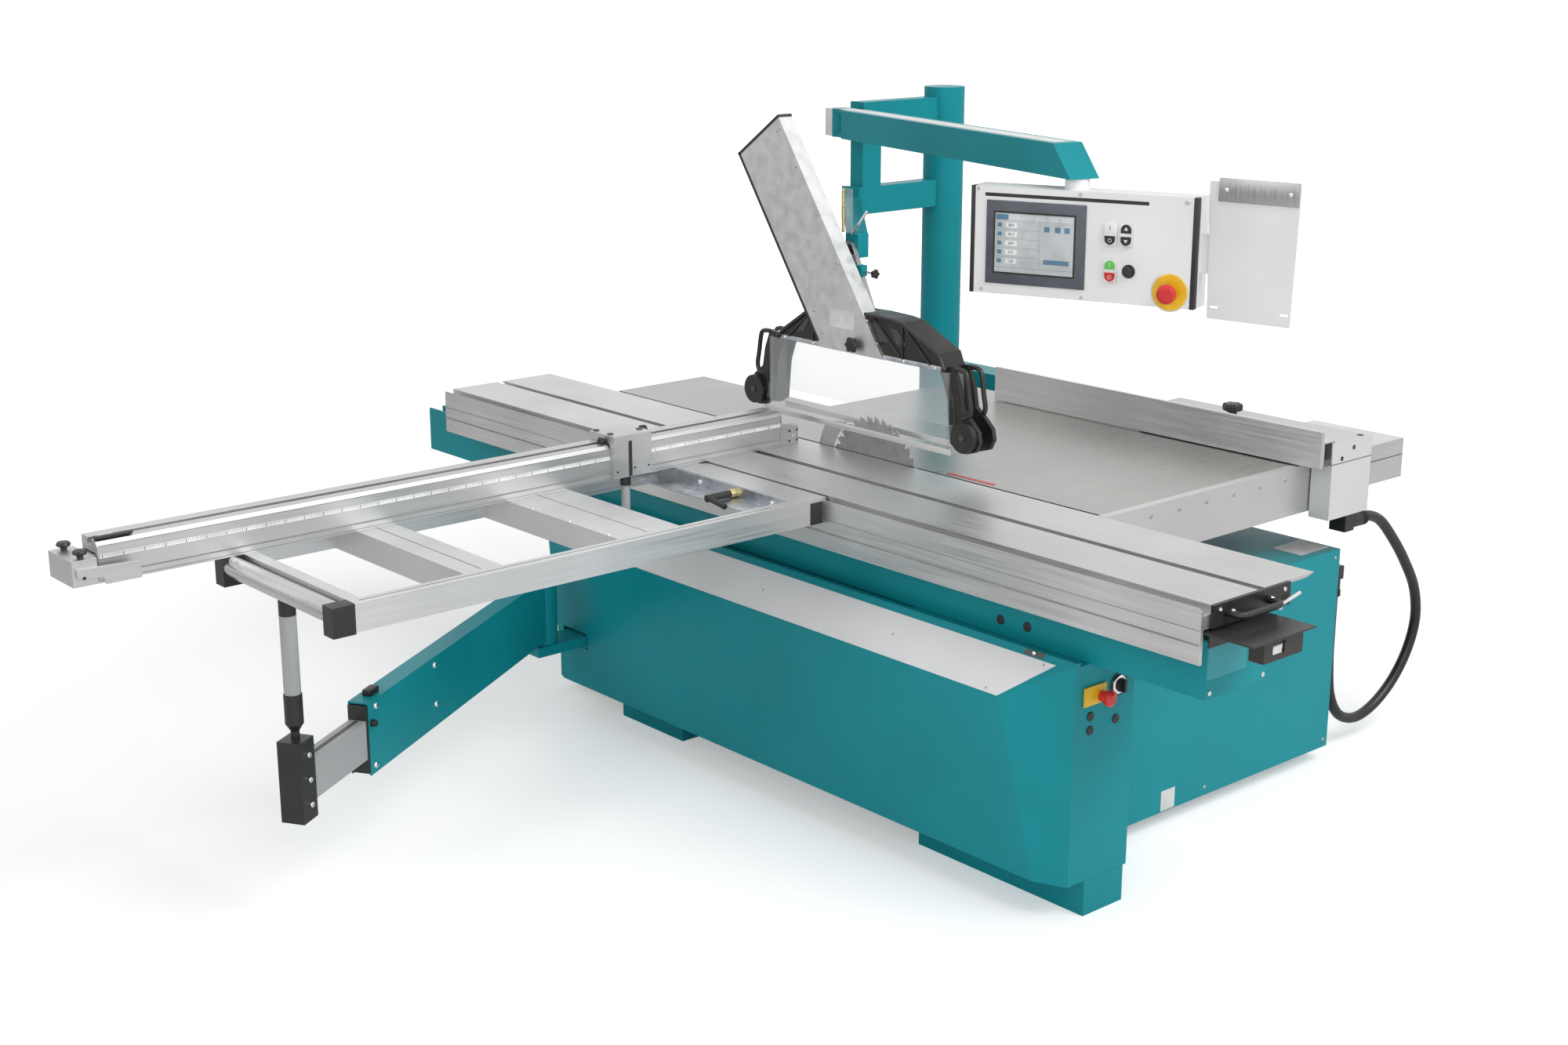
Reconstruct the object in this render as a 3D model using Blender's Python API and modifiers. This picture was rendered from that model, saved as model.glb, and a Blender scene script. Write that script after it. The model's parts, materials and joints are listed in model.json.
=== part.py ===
"""Sliding-table panel saw, as separate pieces in metres.

The machine frame has x = 0 at the sliding table's right edge (+X towards the rip fence), y = 0 at its
near end (+Y is the feed direction) and z = 0 on the table tops. One empty lifts that frame onto the floor
and centres it. Every piece hangs from that empty, or from an empty on its joint's axis.
"""

import math

import bmesh
import bpy
from mathutils import Matrix, Vector

# Clearances
GAP = 0.0003  # between two pieces that rest on each other
RUNNING = 0.0007  # round a button or shaft that moves in its hole
SLIDING = 0.0005  # beside a bar that slides in its channel

# Tables
TABLE_HEIGHT = 0.900  # floor to table top
TABLE_GAP = 0.009  # between the sliding table and the saw table
SLIDER_LENGTH = 3.000
SLIDER_WIDTH = 0.372
SLIDER_DEPTH = 0.054
FLANGE_WIDTH = 0.097  # right edge of the sliding table, which stands over the blade
FLANGE_DEPTH = 0.008
FLANGE_EDGE = 0.0015  # thin enough for the tilted blade to pass
SLOT_CENTRE = 0.195  # T-slot, from the right edge
SLOT_MOUTH = 0.024
SLOT_CHAMBER = 0.036
SLOT_DEPTH = 0.020
GROOVE_WIDTH = 0.024  # groove that the outrigger hooks into
GROOVE_DEPTH = 0.022
FIN = 0.007
FIN_TOP = 0.011
APRON_DEPTH = 0.133
APRON_WALL = 0.009
PROFILE_WALL = 0.010  # walls of the sliding table round its hollows
SAW_TABLE_RIGHT = 0.900
SAW_TABLE_NEAR = 0.641
SAW_TABLE_FAR = 2.020
SAW_TABLE_DEPTH = 0.045
TABLE_SKIN = 0.012
REAR_TABLE_LENGTH = 0.610
REAR_TABLE_RIGHT = 0.355
INSERT_RIGHT = 0.363
INSERT_NEAR = 1.290
INSERT_FAR = 1.950
INSERT_FIT = 0.0005
FRONT_RAIL_DEPTH = 0.135
FRONT_RAIL_THICK = 0.0237

# Slide rail and its roller carriage
RAIL_LEFT = -0.310
RAIL_RIGHT = -0.088
RAIL_TOP = -0.112
RAIL_BOTTOM = -0.250
RAIL_NEAR = 0.050
RAIL_FAR = 3.250
RAIL_WALL = 0.008
TROUGH_WIDTH = 0.042
CARRIAGE_LENGTH = 0.900
CARRIAGE_NEAR = 1.050
CARRIAGE_SIDE_GAP = 0.004
TRAY_REACH = 0.130  # in front of the sliding table's near end
TRAY_TOP = -0.060
TRAY_SHEET = 0.004

# Base
BASE_LEFT = -0.300
BASE_RIGHT = 0.780
BASE_NEAR = 0.953
BASE_FAR = 2.550
BASE_BOTTOM = -0.860
BASE_WALL = 0.008
HEAD_LEFT = 0.020  # the part of the base that carries the saw table
HEAD_FAR = 2.000
BAY_NEAR = 1.060  # saw unit's bay, between the two bulkheads
BAY_FAR = 1.940
BULKHEAD = 0.012
BAY_SHELF = -0.310
BAY_MOUTH_LEFT = -0.270
NOSE_NEAR = 0.3835  # narrow part of the base under the near end of the rail
NOSE_RIGHT = -0.146
NOSE_BOTTOM = -0.805
FOOT_BLADE_SIDE = 0.640
FOOT_DEPTH = 0.290
PANEL_BACK = -0.343  # front panel, in section
PANEL_TOP = -0.240
PANEL_RIDGE = -0.437
PANEL_RIDGE_Z = -0.350
PANEL_TOE = -0.397
PANEL_BOTTOM = -0.805
PANEL_NEAR = 0.383
PANEL_FAR = 2.400
PANEL_SHEET = 0.004
CHAMFER_START = -0.361  # where the panel's near end turns into its chamfer
CHAMFER_SLOPE = 0.438  # sideways run of the chamfer for each metre of feed
CABINET_LEFT = -0.140
CABINET_RIGHT = 1.000
CABINET_NEAR = 0.600
CABINET_TOP = -0.267
CABINET_BOTTOM = -0.855
CABINET_SHEET = 0.004

# Rip fence side
GUIDE_RIGHT = 1.370
GUIDE_NEAR = 0.660
GUIDE_FAR = 0.970
GUIDE_TOP = -0.015
GUIDE_BOTTOM = -0.130
GUIDE_WALL = 0.005
BEAM_LEFT = 1.119
BEAM_RIGHT = 1.217
BEAM_TOP = -0.010
BEAM_BOTTOM = -0.110
BEAM_WALL = 0.005
RIP_LEFT = 0.855  # rip fence carriage
RIP_RIGHT = 1.038
RIP_NEAR = 0.549
RIP_FAR = 1.217
RIP_TOP = 0.061
RIP_SKIRT = 0.065
RIP_SKIRT_BOTTOM = -0.150
RIP_WALL = 0.005
RIP_FENCE_LENGTH = 1.200
RIP_FENCE_HEIGHT = 0.105
RIP_PLATE = 0.012
RIP_KNOB_Y = 0.956
RIP_KNOB_RADIUS = 0.026

# Column, its fixed arms and the guard's boom
COLUMN_X = 1.060
COLUMN_Y = 2.250
COLUMN_RADIUS = 0.0655
COLUMN_WALL = 0.006
COLUMN_TOP = 0.920
COLUMN_PLATE = 0.015
ARM_LOW = 0.800
ARM_HIGH = 0.889
ARM_HALF = 0.030
ARM_START = 0.673
BARREL_X = 0.613
BARREL_RADIUS = 0.034
BARREL_LOW = 0.802
BARREL_HIGH = 0.858
BRACE_LOW = 0.540
BRACE_HIGH = 0.625
BRACE_FLANGE = 0.660
BOOM_LOW = 0.535
BOOM_HIGH = 0.600
BOOM_HALF = 0.025
FLANGE_HALF = 0.040
FLANGE_THICK = 0.012

# Control panel and its swinging arm
PANEL_ARM_LOW = 0.786
PANEL_ARM_HIGH = 0.872
PANEL_ARM_HALF = 0.045
PANEL_ARM_WALL = 0.004
PANEL_ARM_START = 0.075
PANEL_ARM_END = 0.034  # past the swivel, along the underside
PANEL_ARM_SLANT = 0.087
SWIVEL_X = 0.268
SWIVEL_Y = 0.980
PANEL_TURN = -69.7  # degrees, direction of the panel's left-to-right edge
PANEL_LEFT = 0.274
PANEL_RIGHT = 0.342
PANEL_LOW = 0.477
PANEL_HIGH = 0.758
PANEL_FRONT = -0.050
PANEL_REAR = 0.040
PANEL_WALL = 0.003
HOLDER_TURN = -11.7
HOLDER_WIDTH = 0.250
HOLDER_LOW = 0.455
HOLDER_HIGH = 0.800
HOLDER_SHEET = 0.004
BUTTON_WIDTH = 0.032
BUTTON_HEIGHT = 0.058

# Saw guard
DUCT_LEFT = -0.042
DUCT_RIGHT = 0.006
DUCT_WALL = 0.003
DUCT_NEAR = 1.375
DUCT_LOW = 0.2905
DUCT_LENGTH = 0.755
DUCT_WIDTH = 0.205
DUCT_ANGLE = 55.4
HOOD_LEFT = -0.030
HOOD_RIGHT = 0.045
SHIELD_LEFT = -0.033
SHIELD_RIGHT = 0.043
SHIELD_NEAR = 1.140
SHIELD_FAR = 1.850
SHIELD_LOW = 0.070
SHIELD_HIGH = 0.288
SHIELD_WALL = 0.003
SHIELD_RIGHT_LOW = 0.125  # the right wall ends higher, so that the blade can tilt under it
WHEEL_RADIUS = 0.041
WHEEL_WIDTH = 0.018
WHEEL_REACH = 0.064
LINK_TOP_Y = 1.610
LINK_TOP_Z = 0.560
LINK_LOW_Y = 1.505
LINK_LOW_Z = 0.345
LINK_RADIUS = 0.018
LINK_THICK = 0.0145

# Outrigger, crosscut fence and stops
FRAME_LEFT = -1.758
FRAME_NEAR = 1.218
FRAME_FAR = 1.865
FRAME_DEPTH = 0.066
FRAME_BAR = 0.033
FRAME_WALL = 0.004
CROSS_1 = (-1.460, -1.355)
CROSS_2 = (-1.025, -0.840)
FRAME_RAIL = 0.0785
ROLLER_RADIUS = 0.025
ROLLER_LENGTH = 0.460
ROLLER_BLOCK = 0.042
CLAMP_LEFT = -0.560
CLAMP_SHEET = 0.004
FENCE_NEAR = 1.720
FENCE_DEPTH = 0.080
FENCE_HEIGHT = 0.098
FENCE_LEFT = -2.110
FENCE_RIGHT = -0.100
FENCE_END = -0.039
PIVOT_X = -0.640
STOP_X = -0.6385
STOP_WIDTH = 0.123
STOP_SHELL = 0.018
STOP_HIGH = 0.120
END_BLOCK = 0.058
END_GAP = 0.015
EXTENSION = 0.600

# Swinging support arm
SWING_X = -0.530
SWING_Y = 2.310
POST_X = -1.745
POST_Y = 1.555
SWING_TOP = -0.430
SWING_BOTTOM = -0.620
SWING_WIDTH = 0.055
SWING_WALL = 0.004
SWING_END = 0.300  # from the end of the outer arm to the post
BARREL_SWING = 0.045
INNER_TOP = -0.475
INNER_BOTTOM = -0.575
INNER_START = 0.380
POST_RADIUS = 0.019
POST_TOP = -0.074
POST_BLOCK_TOP = -0.412

# Saw unit
BLADE_RADIUS = 0.175
BLADE_THICK = 0.0032
BLADE_Y = 1.450
BLADE_Z = -0.060  # at its highest
KNIFE_THICK = 0.0024
MOTOR_Y = 1.720
MOTOR_Z = -0.330
MOTOR_RADIUS = 0.090
MOTOR_START = 0.160
MOTOR_END = 0.420
SHAFT_RADIUS = 0.012
PULLEY_RADIUS = 0.030
PULLEY_START = 0.135
PULLEY_END = 0.152
LIFT_ARM = (0.096, 0.126)
LIFT_ARM_RADIUS = 0.045
TRUNNION_PLATE = 0.020
TRUNNION_TIE = 0.030

# The hose from the rip carriage to the cabinet: the points of its route
HOSE_RADIUS = 0.015
HOSE_ROUTE = (
    (1.0503, 0.583, -0.185),
    (1.100, 0.583, -0.185),
    (1.165, 0.585, -0.212),
    (1.245, 0.590, -0.282),
    (1.324, 0.597, -0.364),
    (1.400, 0.606, -0.462),
    (1.437, 0.616, -0.565),
    (1.425, 0.627, -0.665),
    (1.372, 0.636, -0.752),
    (1.290, 0.642, -0.812),
    (1.200, 0.645, -0.832),
    (1.115, 0.645, -0.800),
    (1.062, 0.643, -0.725),
    (1.042, 0.641, -0.620),
    (1.038, 0.640, -0.530),
    (1.038, 0.640, -0.460),
    (1.038, 0.640, -0.4003),
)

FINISHES = {
    "teal": ((0.045, 0.400, 0.465, 1), 0.45, 0.0),
    "light_grey": ((0.600, 0.610, 0.600, 1), 0.50, 0.0),
    "aluminium": ((0.780, 0.785, 0.790, 1), 0.38, 1.0),
    "ground_steel": ((0.560, 0.555, 0.545, 1), 0.40, 1.0),
    "galvanised": ((0.450, 0.470, 0.490, 1), 0.45, 1.0),
    "steel": ((0.500, 0.500, 0.500, 1), 0.35, 1.0),
    "chrome": ((0.800, 0.800, 0.800, 1), 0.15, 1.0),
    "black": ((0.020, 0.020, 0.022, 1), 0.50, 0.0),
    "dark": ((0.090, 0.095, 0.100, 1), 0.45, 0.3),
    "red": ((0.600, 0.020, 0.015, 1), 0.35, 0.0),
    "white": ((0.800, 0.800, 0.790, 1), 0.40, 0.0),
    "rubber": ((0.015, 0.015, 0.015, 1), 0.80, 0.0),
}

SLIDER_LEFT = -SLIDER_WIDTH
FIN_INNER = SLIDER_LEFT - GROOVE_WIDTH
FIN_OUTER = FIN_INNER - FIN
BLADE_X = TABLE_GAP / 2
FLOOR = -TABLE_HEIGHT
FENCE_BOTTOM = GAP
STOP_LEFT_END = FENCE_LEFT - END_GAP - END_BLOCK

for leftover in list(bpy.data.objects):
    bpy.data.objects.remove(leftover)

PARTS = bpy.data.collections.new("panel_saw")
CUTTERS = bpy.data.collections.new("cutters")
for collection in (PARTS, CUTTERS):
    bpy.context.scene.collection.children.link(collection)


# Scene helpers


def finish(name, kind):
    """A material of its own for one piece."""
    colour, roughness, metallic = FINISHES[kind]
    material = bpy.data.materials.new(name)
    material.use_nodes = True
    shader = material.node_tree.nodes["Principled BSDF"]
    shader.inputs["Base Color"].default_value = colour
    shader.inputs["Roughness"].default_value = roughness
    shader.inputs["Metallic"].default_value = metallic
    return material


def piece(name, mesh, kind=None):
    """Puts a mesh in the scene as an object. A piece with no finish is a cutter or a shape to join."""
    obj = bpy.data.objects.new(name, mesh)
    if kind is None:
        CUTTERS.objects.link(obj)
        obj.hide_render = True
        obj.display_type = "WIRE"
    else:
        PARTS.objects.link(obj)
        mesh.materials.append(finish(name, kind))
    return obj


def smooth(obj, degrees=35):
    obj.data.shade_smooth()
    obj.data.set_sharp_from_angle(angle=math.radians(degrees))
    return obj


def mesh_from(bm, name):
    mesh = bpy.data.meshes.new(name)
    bm.to_mesh(mesh)
    bm.free()
    return mesh


def boxes(name, corners, kind=None):
    """One object from one or more boxes, each given by its low and its high corner."""
    bm = bmesh.new()
    for low, high in corners:
        low, high = Vector(low), Vector(high)
        place = Matrix.Translation((low + high) / 2) @ Matrix.Diagonal((*(high - low), 1))
        bmesh.ops.create_cube(bm, size=1, matrix=place)
    return piece(name, mesh_from(bm, name), kind)


def box(name, low, high, kind=None):
    return boxes(name, [(low, high)], kind)


def rod(name, start, end, radius, kind=None, sides=24, end_radius=None):
    """A cylinder or cone between two points."""
    start, end = Vector(start), Vector(end)
    turn = (end - start).to_track_quat("Z", "Y").to_matrix().to_4x4()
    bm = bmesh.new()
    bmesh.ops.create_cone(
        bm,
        cap_ends=True,
        segments=sides,
        radius1=radius,
        radius2=radius if end_radius is None else end_radius,
        depth=(end - start).length,
        matrix=Matrix.Translation((start + end) / 2) @ turn,
    )
    return smooth(piece(name, mesh_from(bm, name), kind))


def mesh_of_curve(curve, name, place):
    """The curve's evaluated mesh, closed and moved to its place. The curve is removed."""
    guide = bpy.data.objects.new(name, curve)
    PARTS.objects.link(guide)
    graph = bpy.context.evaluated_depsgraph_get()
    mesh = bpy.data.meshes.new_from_object(guide.evaluated_get(graph))
    bpy.data.objects.remove(guide)
    bm = bmesh.new()
    bm.from_mesh(mesh)
    bmesh.ops.remove_doubles(bm, verts=bm.verts, dist=1e-6)
    bmesh.ops.transform(bm, matrix=place, verts=bm.verts)
    bmesh.ops.recalc_face_normals(bm, faces=bm.faces)
    bm.to_mesh(mesh)
    bm.free()
    mesh.materials.clear()
    return mesh


# An outline's own plane, laid across X (it holds y, z), across Y (x, z) or across Z (x, y)
PLANES = {
    "X": Matrix(((0, 0, 1, 0), (1, 0, 0, 0), (0, 1, 0, 0), (0, 0, 0, 1))),
    "Y": Matrix(((1, 0, 0, 0), (0, 0, -1, 0), (0, 1, 0, 0), (0, 0, 0, 1))),
    "Z": Matrix.Identity(4),
}


def prism(name, outline, axis, low, high, kind=None, holes=()):
    """A flat outline, with holes through it, extruded along an axis from low to high."""
    curve = bpy.data.curves.new(name, "CURVE")
    curve.dimensions = "2D"
    curve.fill_mode = "BOTH"
    curve.extrude = (high - low) / 2
    for ring in (outline, *holes):
        spline = curve.splines.new("POLY")
        spline.points.add(len(ring) - 1)
        for point, (u, v) in zip(spline.points, ring):
            point.co = (u, v, 0, 1)
        spline.use_cyclic_u = True
    middle = (low + high) / 2
    shift = Matrix.Translation((0, 0, -middle if axis == "Y" else middle))
    mesh = mesh_of_curve(curve, name, PLANES[axis] @ shift)
    return piece(name, mesh, kind)


def turned(name, profile, kind, axis="Z", at=(0, 0, 0), sides=32):
    """A turned shape: (radius, height) points down its outer side, closed onto the axis at both ends."""
    bm = bmesh.new()
    verts = [bm.verts.new((radius, 0, height)) for radius, height in profile]
    for first, second in zip(verts, verts[1:]):
        bm.edges.new((first, second))
    obj = piece(name, mesh_from(bm, name), kind)
    screw = obj.modifiers.new("turn", "SCREW")
    screw.steps = screw.render_steps = sides
    screw.use_merge_vertices = True
    screw.merge_threshold = 1e-5
    graph = bpy.context.evaluated_depsgraph_get()
    mesh = bpy.data.meshes.new_from_object(obj.evaluated_get(graph))
    obj.modifiers.remove(screw)
    turn = {"X": Matrix.Rotation(math.pi / 2, 4, "Y"), "Y": Matrix.Rotation(-math.pi / 2, 4, "X")}
    mesh.transform(Matrix.Translation(at) @ turn.get(axis, Matrix.Identity(4)))
    obj.data = mesh
    return smooth(obj)


def pipe(name, points, radius, kind, resolution=3):
    """A round bar or tube along a run of points."""
    curve = bpy.data.curves.new(name, "CURVE")
    curve.dimensions = "3D"
    curve.bevel_depth = radius
    curve.bevel_resolution = resolution
    curve.use_fill_caps = True
    spline = curve.splines.new("POLY")
    spline.points.add(len(points) - 1)
    for point, place in zip(spline.points, points):
        point.co = (*place, 1)
    return smooth(piece(name, mesh_of_curve(curve, name, Matrix.Identity(4)), kind))


def combine(target, tool, operation):
    boolean = target.modifiers.new(tool.name, "BOOLEAN")
    boolean.operation = operation
    boolean.object = tool
    return target


def cut(target, *tools):
    for tool in tools:
        combine(target, tool, "DIFFERENCE")
    return target


def join(target, *tools):
    for tool in tools:
        combine(target, tool, "UNION")
    return target


def arc(centre, radius, start, end, steps):
    """Points on an arc, angles in degrees from the outline's first axis."""
    angles = [math.radians(start + (end - start) * i / steps) for i in range(steps + 1)]
    return [(centre[0] + radius * math.cos(a), centre[1] + radius * math.sin(a)) for a in angles]


def capsule(first, second, radius, steps=8):
    """The outline of a link with round ends."""
    heading = math.degrees(math.atan2(second[1] - first[1], second[0] - first[0]))
    far = arc(second, radius, heading - 90, heading + 90, steps)
    near = arc(first, radius, heading + 90, heading + 270, steps)
    return far + near


def smooth_route(points, spacing):
    """Points at even spacing along a smooth curve through the given ones."""
    knots = [Vector(p) for p in points]
    knots = [2 * knots[0] - knots[1], *knots, 2 * knots[-1] - knots[-2]]
    fine = []
    for a, b, c, d in zip(knots, knots[1:], knots[2:], knots[3:]):
        for step in range(20):
            t = step / 20
            fine.append(
                0.5 * (2 * b + (c - a) * t + (2 * a - 5 * b + 4 * c - d) * t * t + (3 * b - a - 3 * c + d) * t**3)
            )
    fine.append(knots[-2])
    length = sum((q - p).length for p, q in zip(fine, fine[1:]))
    count = round(length / spacing)
    even, run, wanted = [fine[0]], 0.0, length / count
    for p, q in zip(fine, fine[1:]):
        step = (q - p).length
        while run + step >= wanted * len(even) and len(even) < count:
            even.append(p.lerp(q, (wanted * len(even) - run) / step))
        run += step
    return even + [fine[-1]]


# Placing


def machine_frame():
    """The empty that stands the machine on the floor, with the middle of its footprint at the origin."""
    middle_x = (STOP_LEFT_END + GUIDE_RIGHT) / 2
    middle_y = (max(RAIL_FAR, SLIDER_LENGTH) - TRAY_REACH) / 2
    empty = bpy.data.objects.new("machine", None)
    PARTS.objects.link(empty)
    empty.location = (-middle_x, -middle_y, TABLE_HEIGHT)
    return empty


MACHINE = machine_frame()


def pivot(name, place, parent=None, place_of_parent=(0, 0, 0), turn=0.0):
    """An empty on a joint's axis, or at a turned piece's own origin."""
    empty = bpy.data.objects.new(name, None)
    PARTS.objects.link(empty)
    empty.parent = parent or MACHINE
    empty.location = Vector(place) - Vector(place_of_parent)
    empty.rotation_euler.z = math.radians(turn)
    return empty


def hang(holder, place, *pieces):
    """Parents pieces, with what cuts or joins them, to an empty that stands at a place of the machine."""
    for obj in pieces:
        tools = [modifier.object for modifier in obj.modifiers if modifier.type == "BOOLEAN"]
        for member in (obj, *tools):
            member.parent = holder
            member.location = -Vector(place)
            for modifier in member.modifiers:
                if modifier.type == "BOOLEAN" and member is not obj:
                    hang(holder, place, modifier.object)


def fixed(*pieces):
    hang(MACHINE, (0, 0, 0), *pieces)


# Base


def base_body():
    head_top = -SAW_TABLE_DEPTH - GAP
    rail_seat = RAIL_BOTTOM - GAP
    body = box("base_body", (BASE_LEFT, BASE_NEAR, BASE_BOTTOM), (BASE_RIGHT, BASE_FAR, rail_seat), "teal")
    head = box("head", (HEAD_LEFT, BASE_NEAR, BAY_SHELF), (BASE_RIGHT, HEAD_FAR, head_top))
    nose_left = PANEL_BACK + GAP
    nose = box("nose", (nose_left, NOSE_NEAR, NOSE_BOTTOM), (NOSE_RIGHT, BASE_NEAR + 0.015, rail_seat))
    plinth_low = (nose_left + 0.0457, NOSE_NEAR + 0.0025, FLOOR)
    plinth = box("plinth", plinth_low, (NOSE_RIGHT - 0.008, BASE_NEAR - 0.003, NOSE_BOTTOM + 0.015))
    foot_top = BASE_BOTTOM + 0.010
    feet = []
    for name, left, right, near in (
        ("foot_left_far", BASE_LEFT - 0.005, BASE_LEFT + 0.066, BAY_FAR - 0.010),
        ("foot_right_near", FOOT_BLADE_SIDE, BASE_RIGHT + 0.005, BAY_NEAR - 0.040),
        ("foot_right_far", FOOT_BLADE_SIDE, BASE_RIGHT + 0.005, BAY_FAR - 0.010),
    ):
        feet.append(box(name, (left, near, FLOOR), (right, near + FOOT_DEPTH, foot_top)))
    bracket_top = SWING_BOTTOM - 0.015 - GAP
    bracket_low = (SWING_X - 0.050, SWING_Y - 0.050, bracket_top - 0.030)
    bracket = box("arm_bracket", bracket_low, (BASE_LEFT + 0.010, SWING_Y + 0.050, bracket_top))
    join(body, head, nose, plinth, *feet, bracket)
    wall = BASE_WALL
    inner_left = BASE_LEFT + wall
    inner_right = BASE_RIGHT - wall
    head_left = HEAD_LEFT + wall
    bay = box("bay", (inner_left, BAY_NEAR, BASE_BOTTOM + wall), (inner_right, BAY_FAR, BAY_SHELF))
    mouth = box("bay_mouth", (BAY_MOUTH_LEFT, BAY_NEAR, BAY_SHELF - 0.010), (inner_right, BAY_FAR, 0.010))
    below = BASE_BOTTOM - 0.010
    front = (BASE_NEAR + wall, BAY_NEAR - BULKHEAD)
    rear = (BAY_FAR + BULKHEAD, HEAD_FAR - wall)
    hollows = (
        box("front_hollow", (inner_left, front[0], below), (inner_right, front[1], rail_seat - wall)),
        box("front_head_hollow", (head_left, front[0], below), (inner_right, front[1], head_top - wall)),
        box("rear_hollow", (inner_left, rear[0], below), (inner_right, BASE_FAR - wall, rail_seat - wall)),
        box("rear_head_hollow", (head_left, rear[0], below), (inner_right, rear[1], head_top - wall)),
    )
    nose_hollow = box(
        "nose_hollow",
        (plinth_low[0] + wall, NOSE_NEAR + 2 * wall, FLOOR - 0.010),
        (NOSE_RIGHT - 2 * wall, BASE_NEAR - wall, rail_seat - wall),
    )
    estop_hole = rod(
        "base_estop_hole",
        (ESTOP_X, NOSE_NEAR - 0.010, ESTOP_Z),
        (ESTOP_X, NOSE_NEAR + ESTOP_HOLE, ESTOP_Z),
        ESTOP_NECK + RUNNING,
    )
    cut(body, bay, mouth, *hollows, nose_hollow, estop_hole)
    fixed(body)


ESTOP_X = -0.270
ESTOP_Z = -0.337
ESTOP_NECK = 0.0135
ESTOP_HOLE = 0.010
ESTOP_TRAVEL = 0.004
SWITCH_X = -0.204
SWITCH_Z = -0.325


def base_controls():
    """The two controls on the near end of the base."""
    neck_end = NOSE_NEAR + ESTOP_HOLE - ESTOP_TRAVEL - 0.002
    place = (ESTOP_X, neck_end, ESTOP_Z)
    profile = [(0, 0), (ESTOP_NECK, 0), (ESTOP_NECK, -0.028), (0.020, -0.031), (0.020, -0.041), (0.012, -0.047), (0, -0.048)]
    estop = turned("base_estop_button", profile, "red", "Y", place)
    hang(pivot("base_estop_press", place), place, estop)
    place = (SWITCH_X, NOSE_NEAR - GAP, SWITCH_Z)
    knob = rod("switch_dial", place, (SWITCH_X, NOSE_NEAR - 0.012, SWITCH_Z), 0.017)
    grip_low = (SWITCH_X - 0.004, NOSE_NEAR - 0.024, SWITCH_Z - 0.015)
    switch = box("base_power_switch", grip_low, (SWITCH_X + 0.004, NOSE_NEAR - 0.006, SWITCH_Z + 0.015), "black")
    join(switch, knob)
    hang(pivot("base_switch_turn", place), place, switch)


def front_panel():
    """The bent cover along the base, open at the back, with its near corner cut by an upright chamfer."""
    slope = (PANEL_RIDGE_Z - PANEL_TOP) / (PANEL_RIDGE - (PANEL_BACK - 0.014))
    fold_x = PANEL_BACK - 0.014
    section = [
        (PANEL_BACK, PANEL_TOP),
        (fold_x, PANEL_TOP),
        (CHAMFER_START, PANEL_TOP + slope * (CHAMFER_START - fold_x)),
        (PANEL_RIDGE, PANEL_RIDGE_Z),
        (PANEL_TOE, PANEL_BOTTOM),
        (CHAMFER_START, PANEL_BOTTOM),
        (PANEL_BACK, PANEL_BOTTOM),
    ]
    bm = bmesh.new()
    near = []
    far = []
    for x, z in section:
        cut_back = max(0.0, CHAMFER_START - x) / CHAMFER_SLOPE
        near.append(bm.verts.new((x, PANEL_NEAR + cut_back, z)))
        far.append(bm.verts.new((x, PANEL_FAR, z)))
    for i in range(len(section) - 1):
        bm.faces.new((near[i], far[i], far[i + 1], near[i + 1]))
    bm.faces.new(far)
    bm.faces.new((near[2], near[3], near[4], near[5]))
    bm.faces.new((near[0], near[1], near[2], near[5], near[6]))
    bmesh.ops.recalc_face_normals(bm, faces=bm.faces)
    panel = piece("front_panel", mesh_from(bm, "front_panel"), "teal")
    if panel.data.polygons[2].normal.x > 0:
        panel.data.flip_normals()
    wall = panel.modifiers.new("sheet", "SOLIDIFY")
    wall.thickness = PANEL_SHEET
    wall.offset = -1
    wall.use_even_offset = True
    bracket_top = SWING_BOTTOM - 0.015 - GAP
    slot_low = (PANEL_RIDGE - 0.020, SWING_Y - 0.060, bracket_top - 0.040)
    cut(panel, box("arm_slot", slot_low, (PANEL_BACK + 0.010, SWING_Y + 0.060, bracket_top + 0.010)))
    fixed(panel)


def side_cabinet():
    far = BASE_NEAR - GAP
    cabinet = box(
        "side_cabinet",
        (CABINET_LEFT, CABINET_NEAR, CABINET_BOTTOM),
        (CABINET_RIGHT, far, CABINET_TOP),
        "teal",
    )
    inside = box(
        "cabinet_inside",
        (CABINET_LEFT + CABINET_SHEET, CABINET_NEAR + CABINET_SHEET, CABINET_BOTTOM + CABINET_SHEET),
        (CABINET_RIGHT - CABINET_SHEET, far + 0.010, CABINET_TOP - CABINET_SHEET),
    )
    fixed(cut(cabinet, inside))


# Rail and tables


def trough():
    """Left and right edge of the rail's trough."""
    left = RAIL_LEFT + RAIL_WALL
    return left, left + TROUGH_WIDTH


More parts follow.
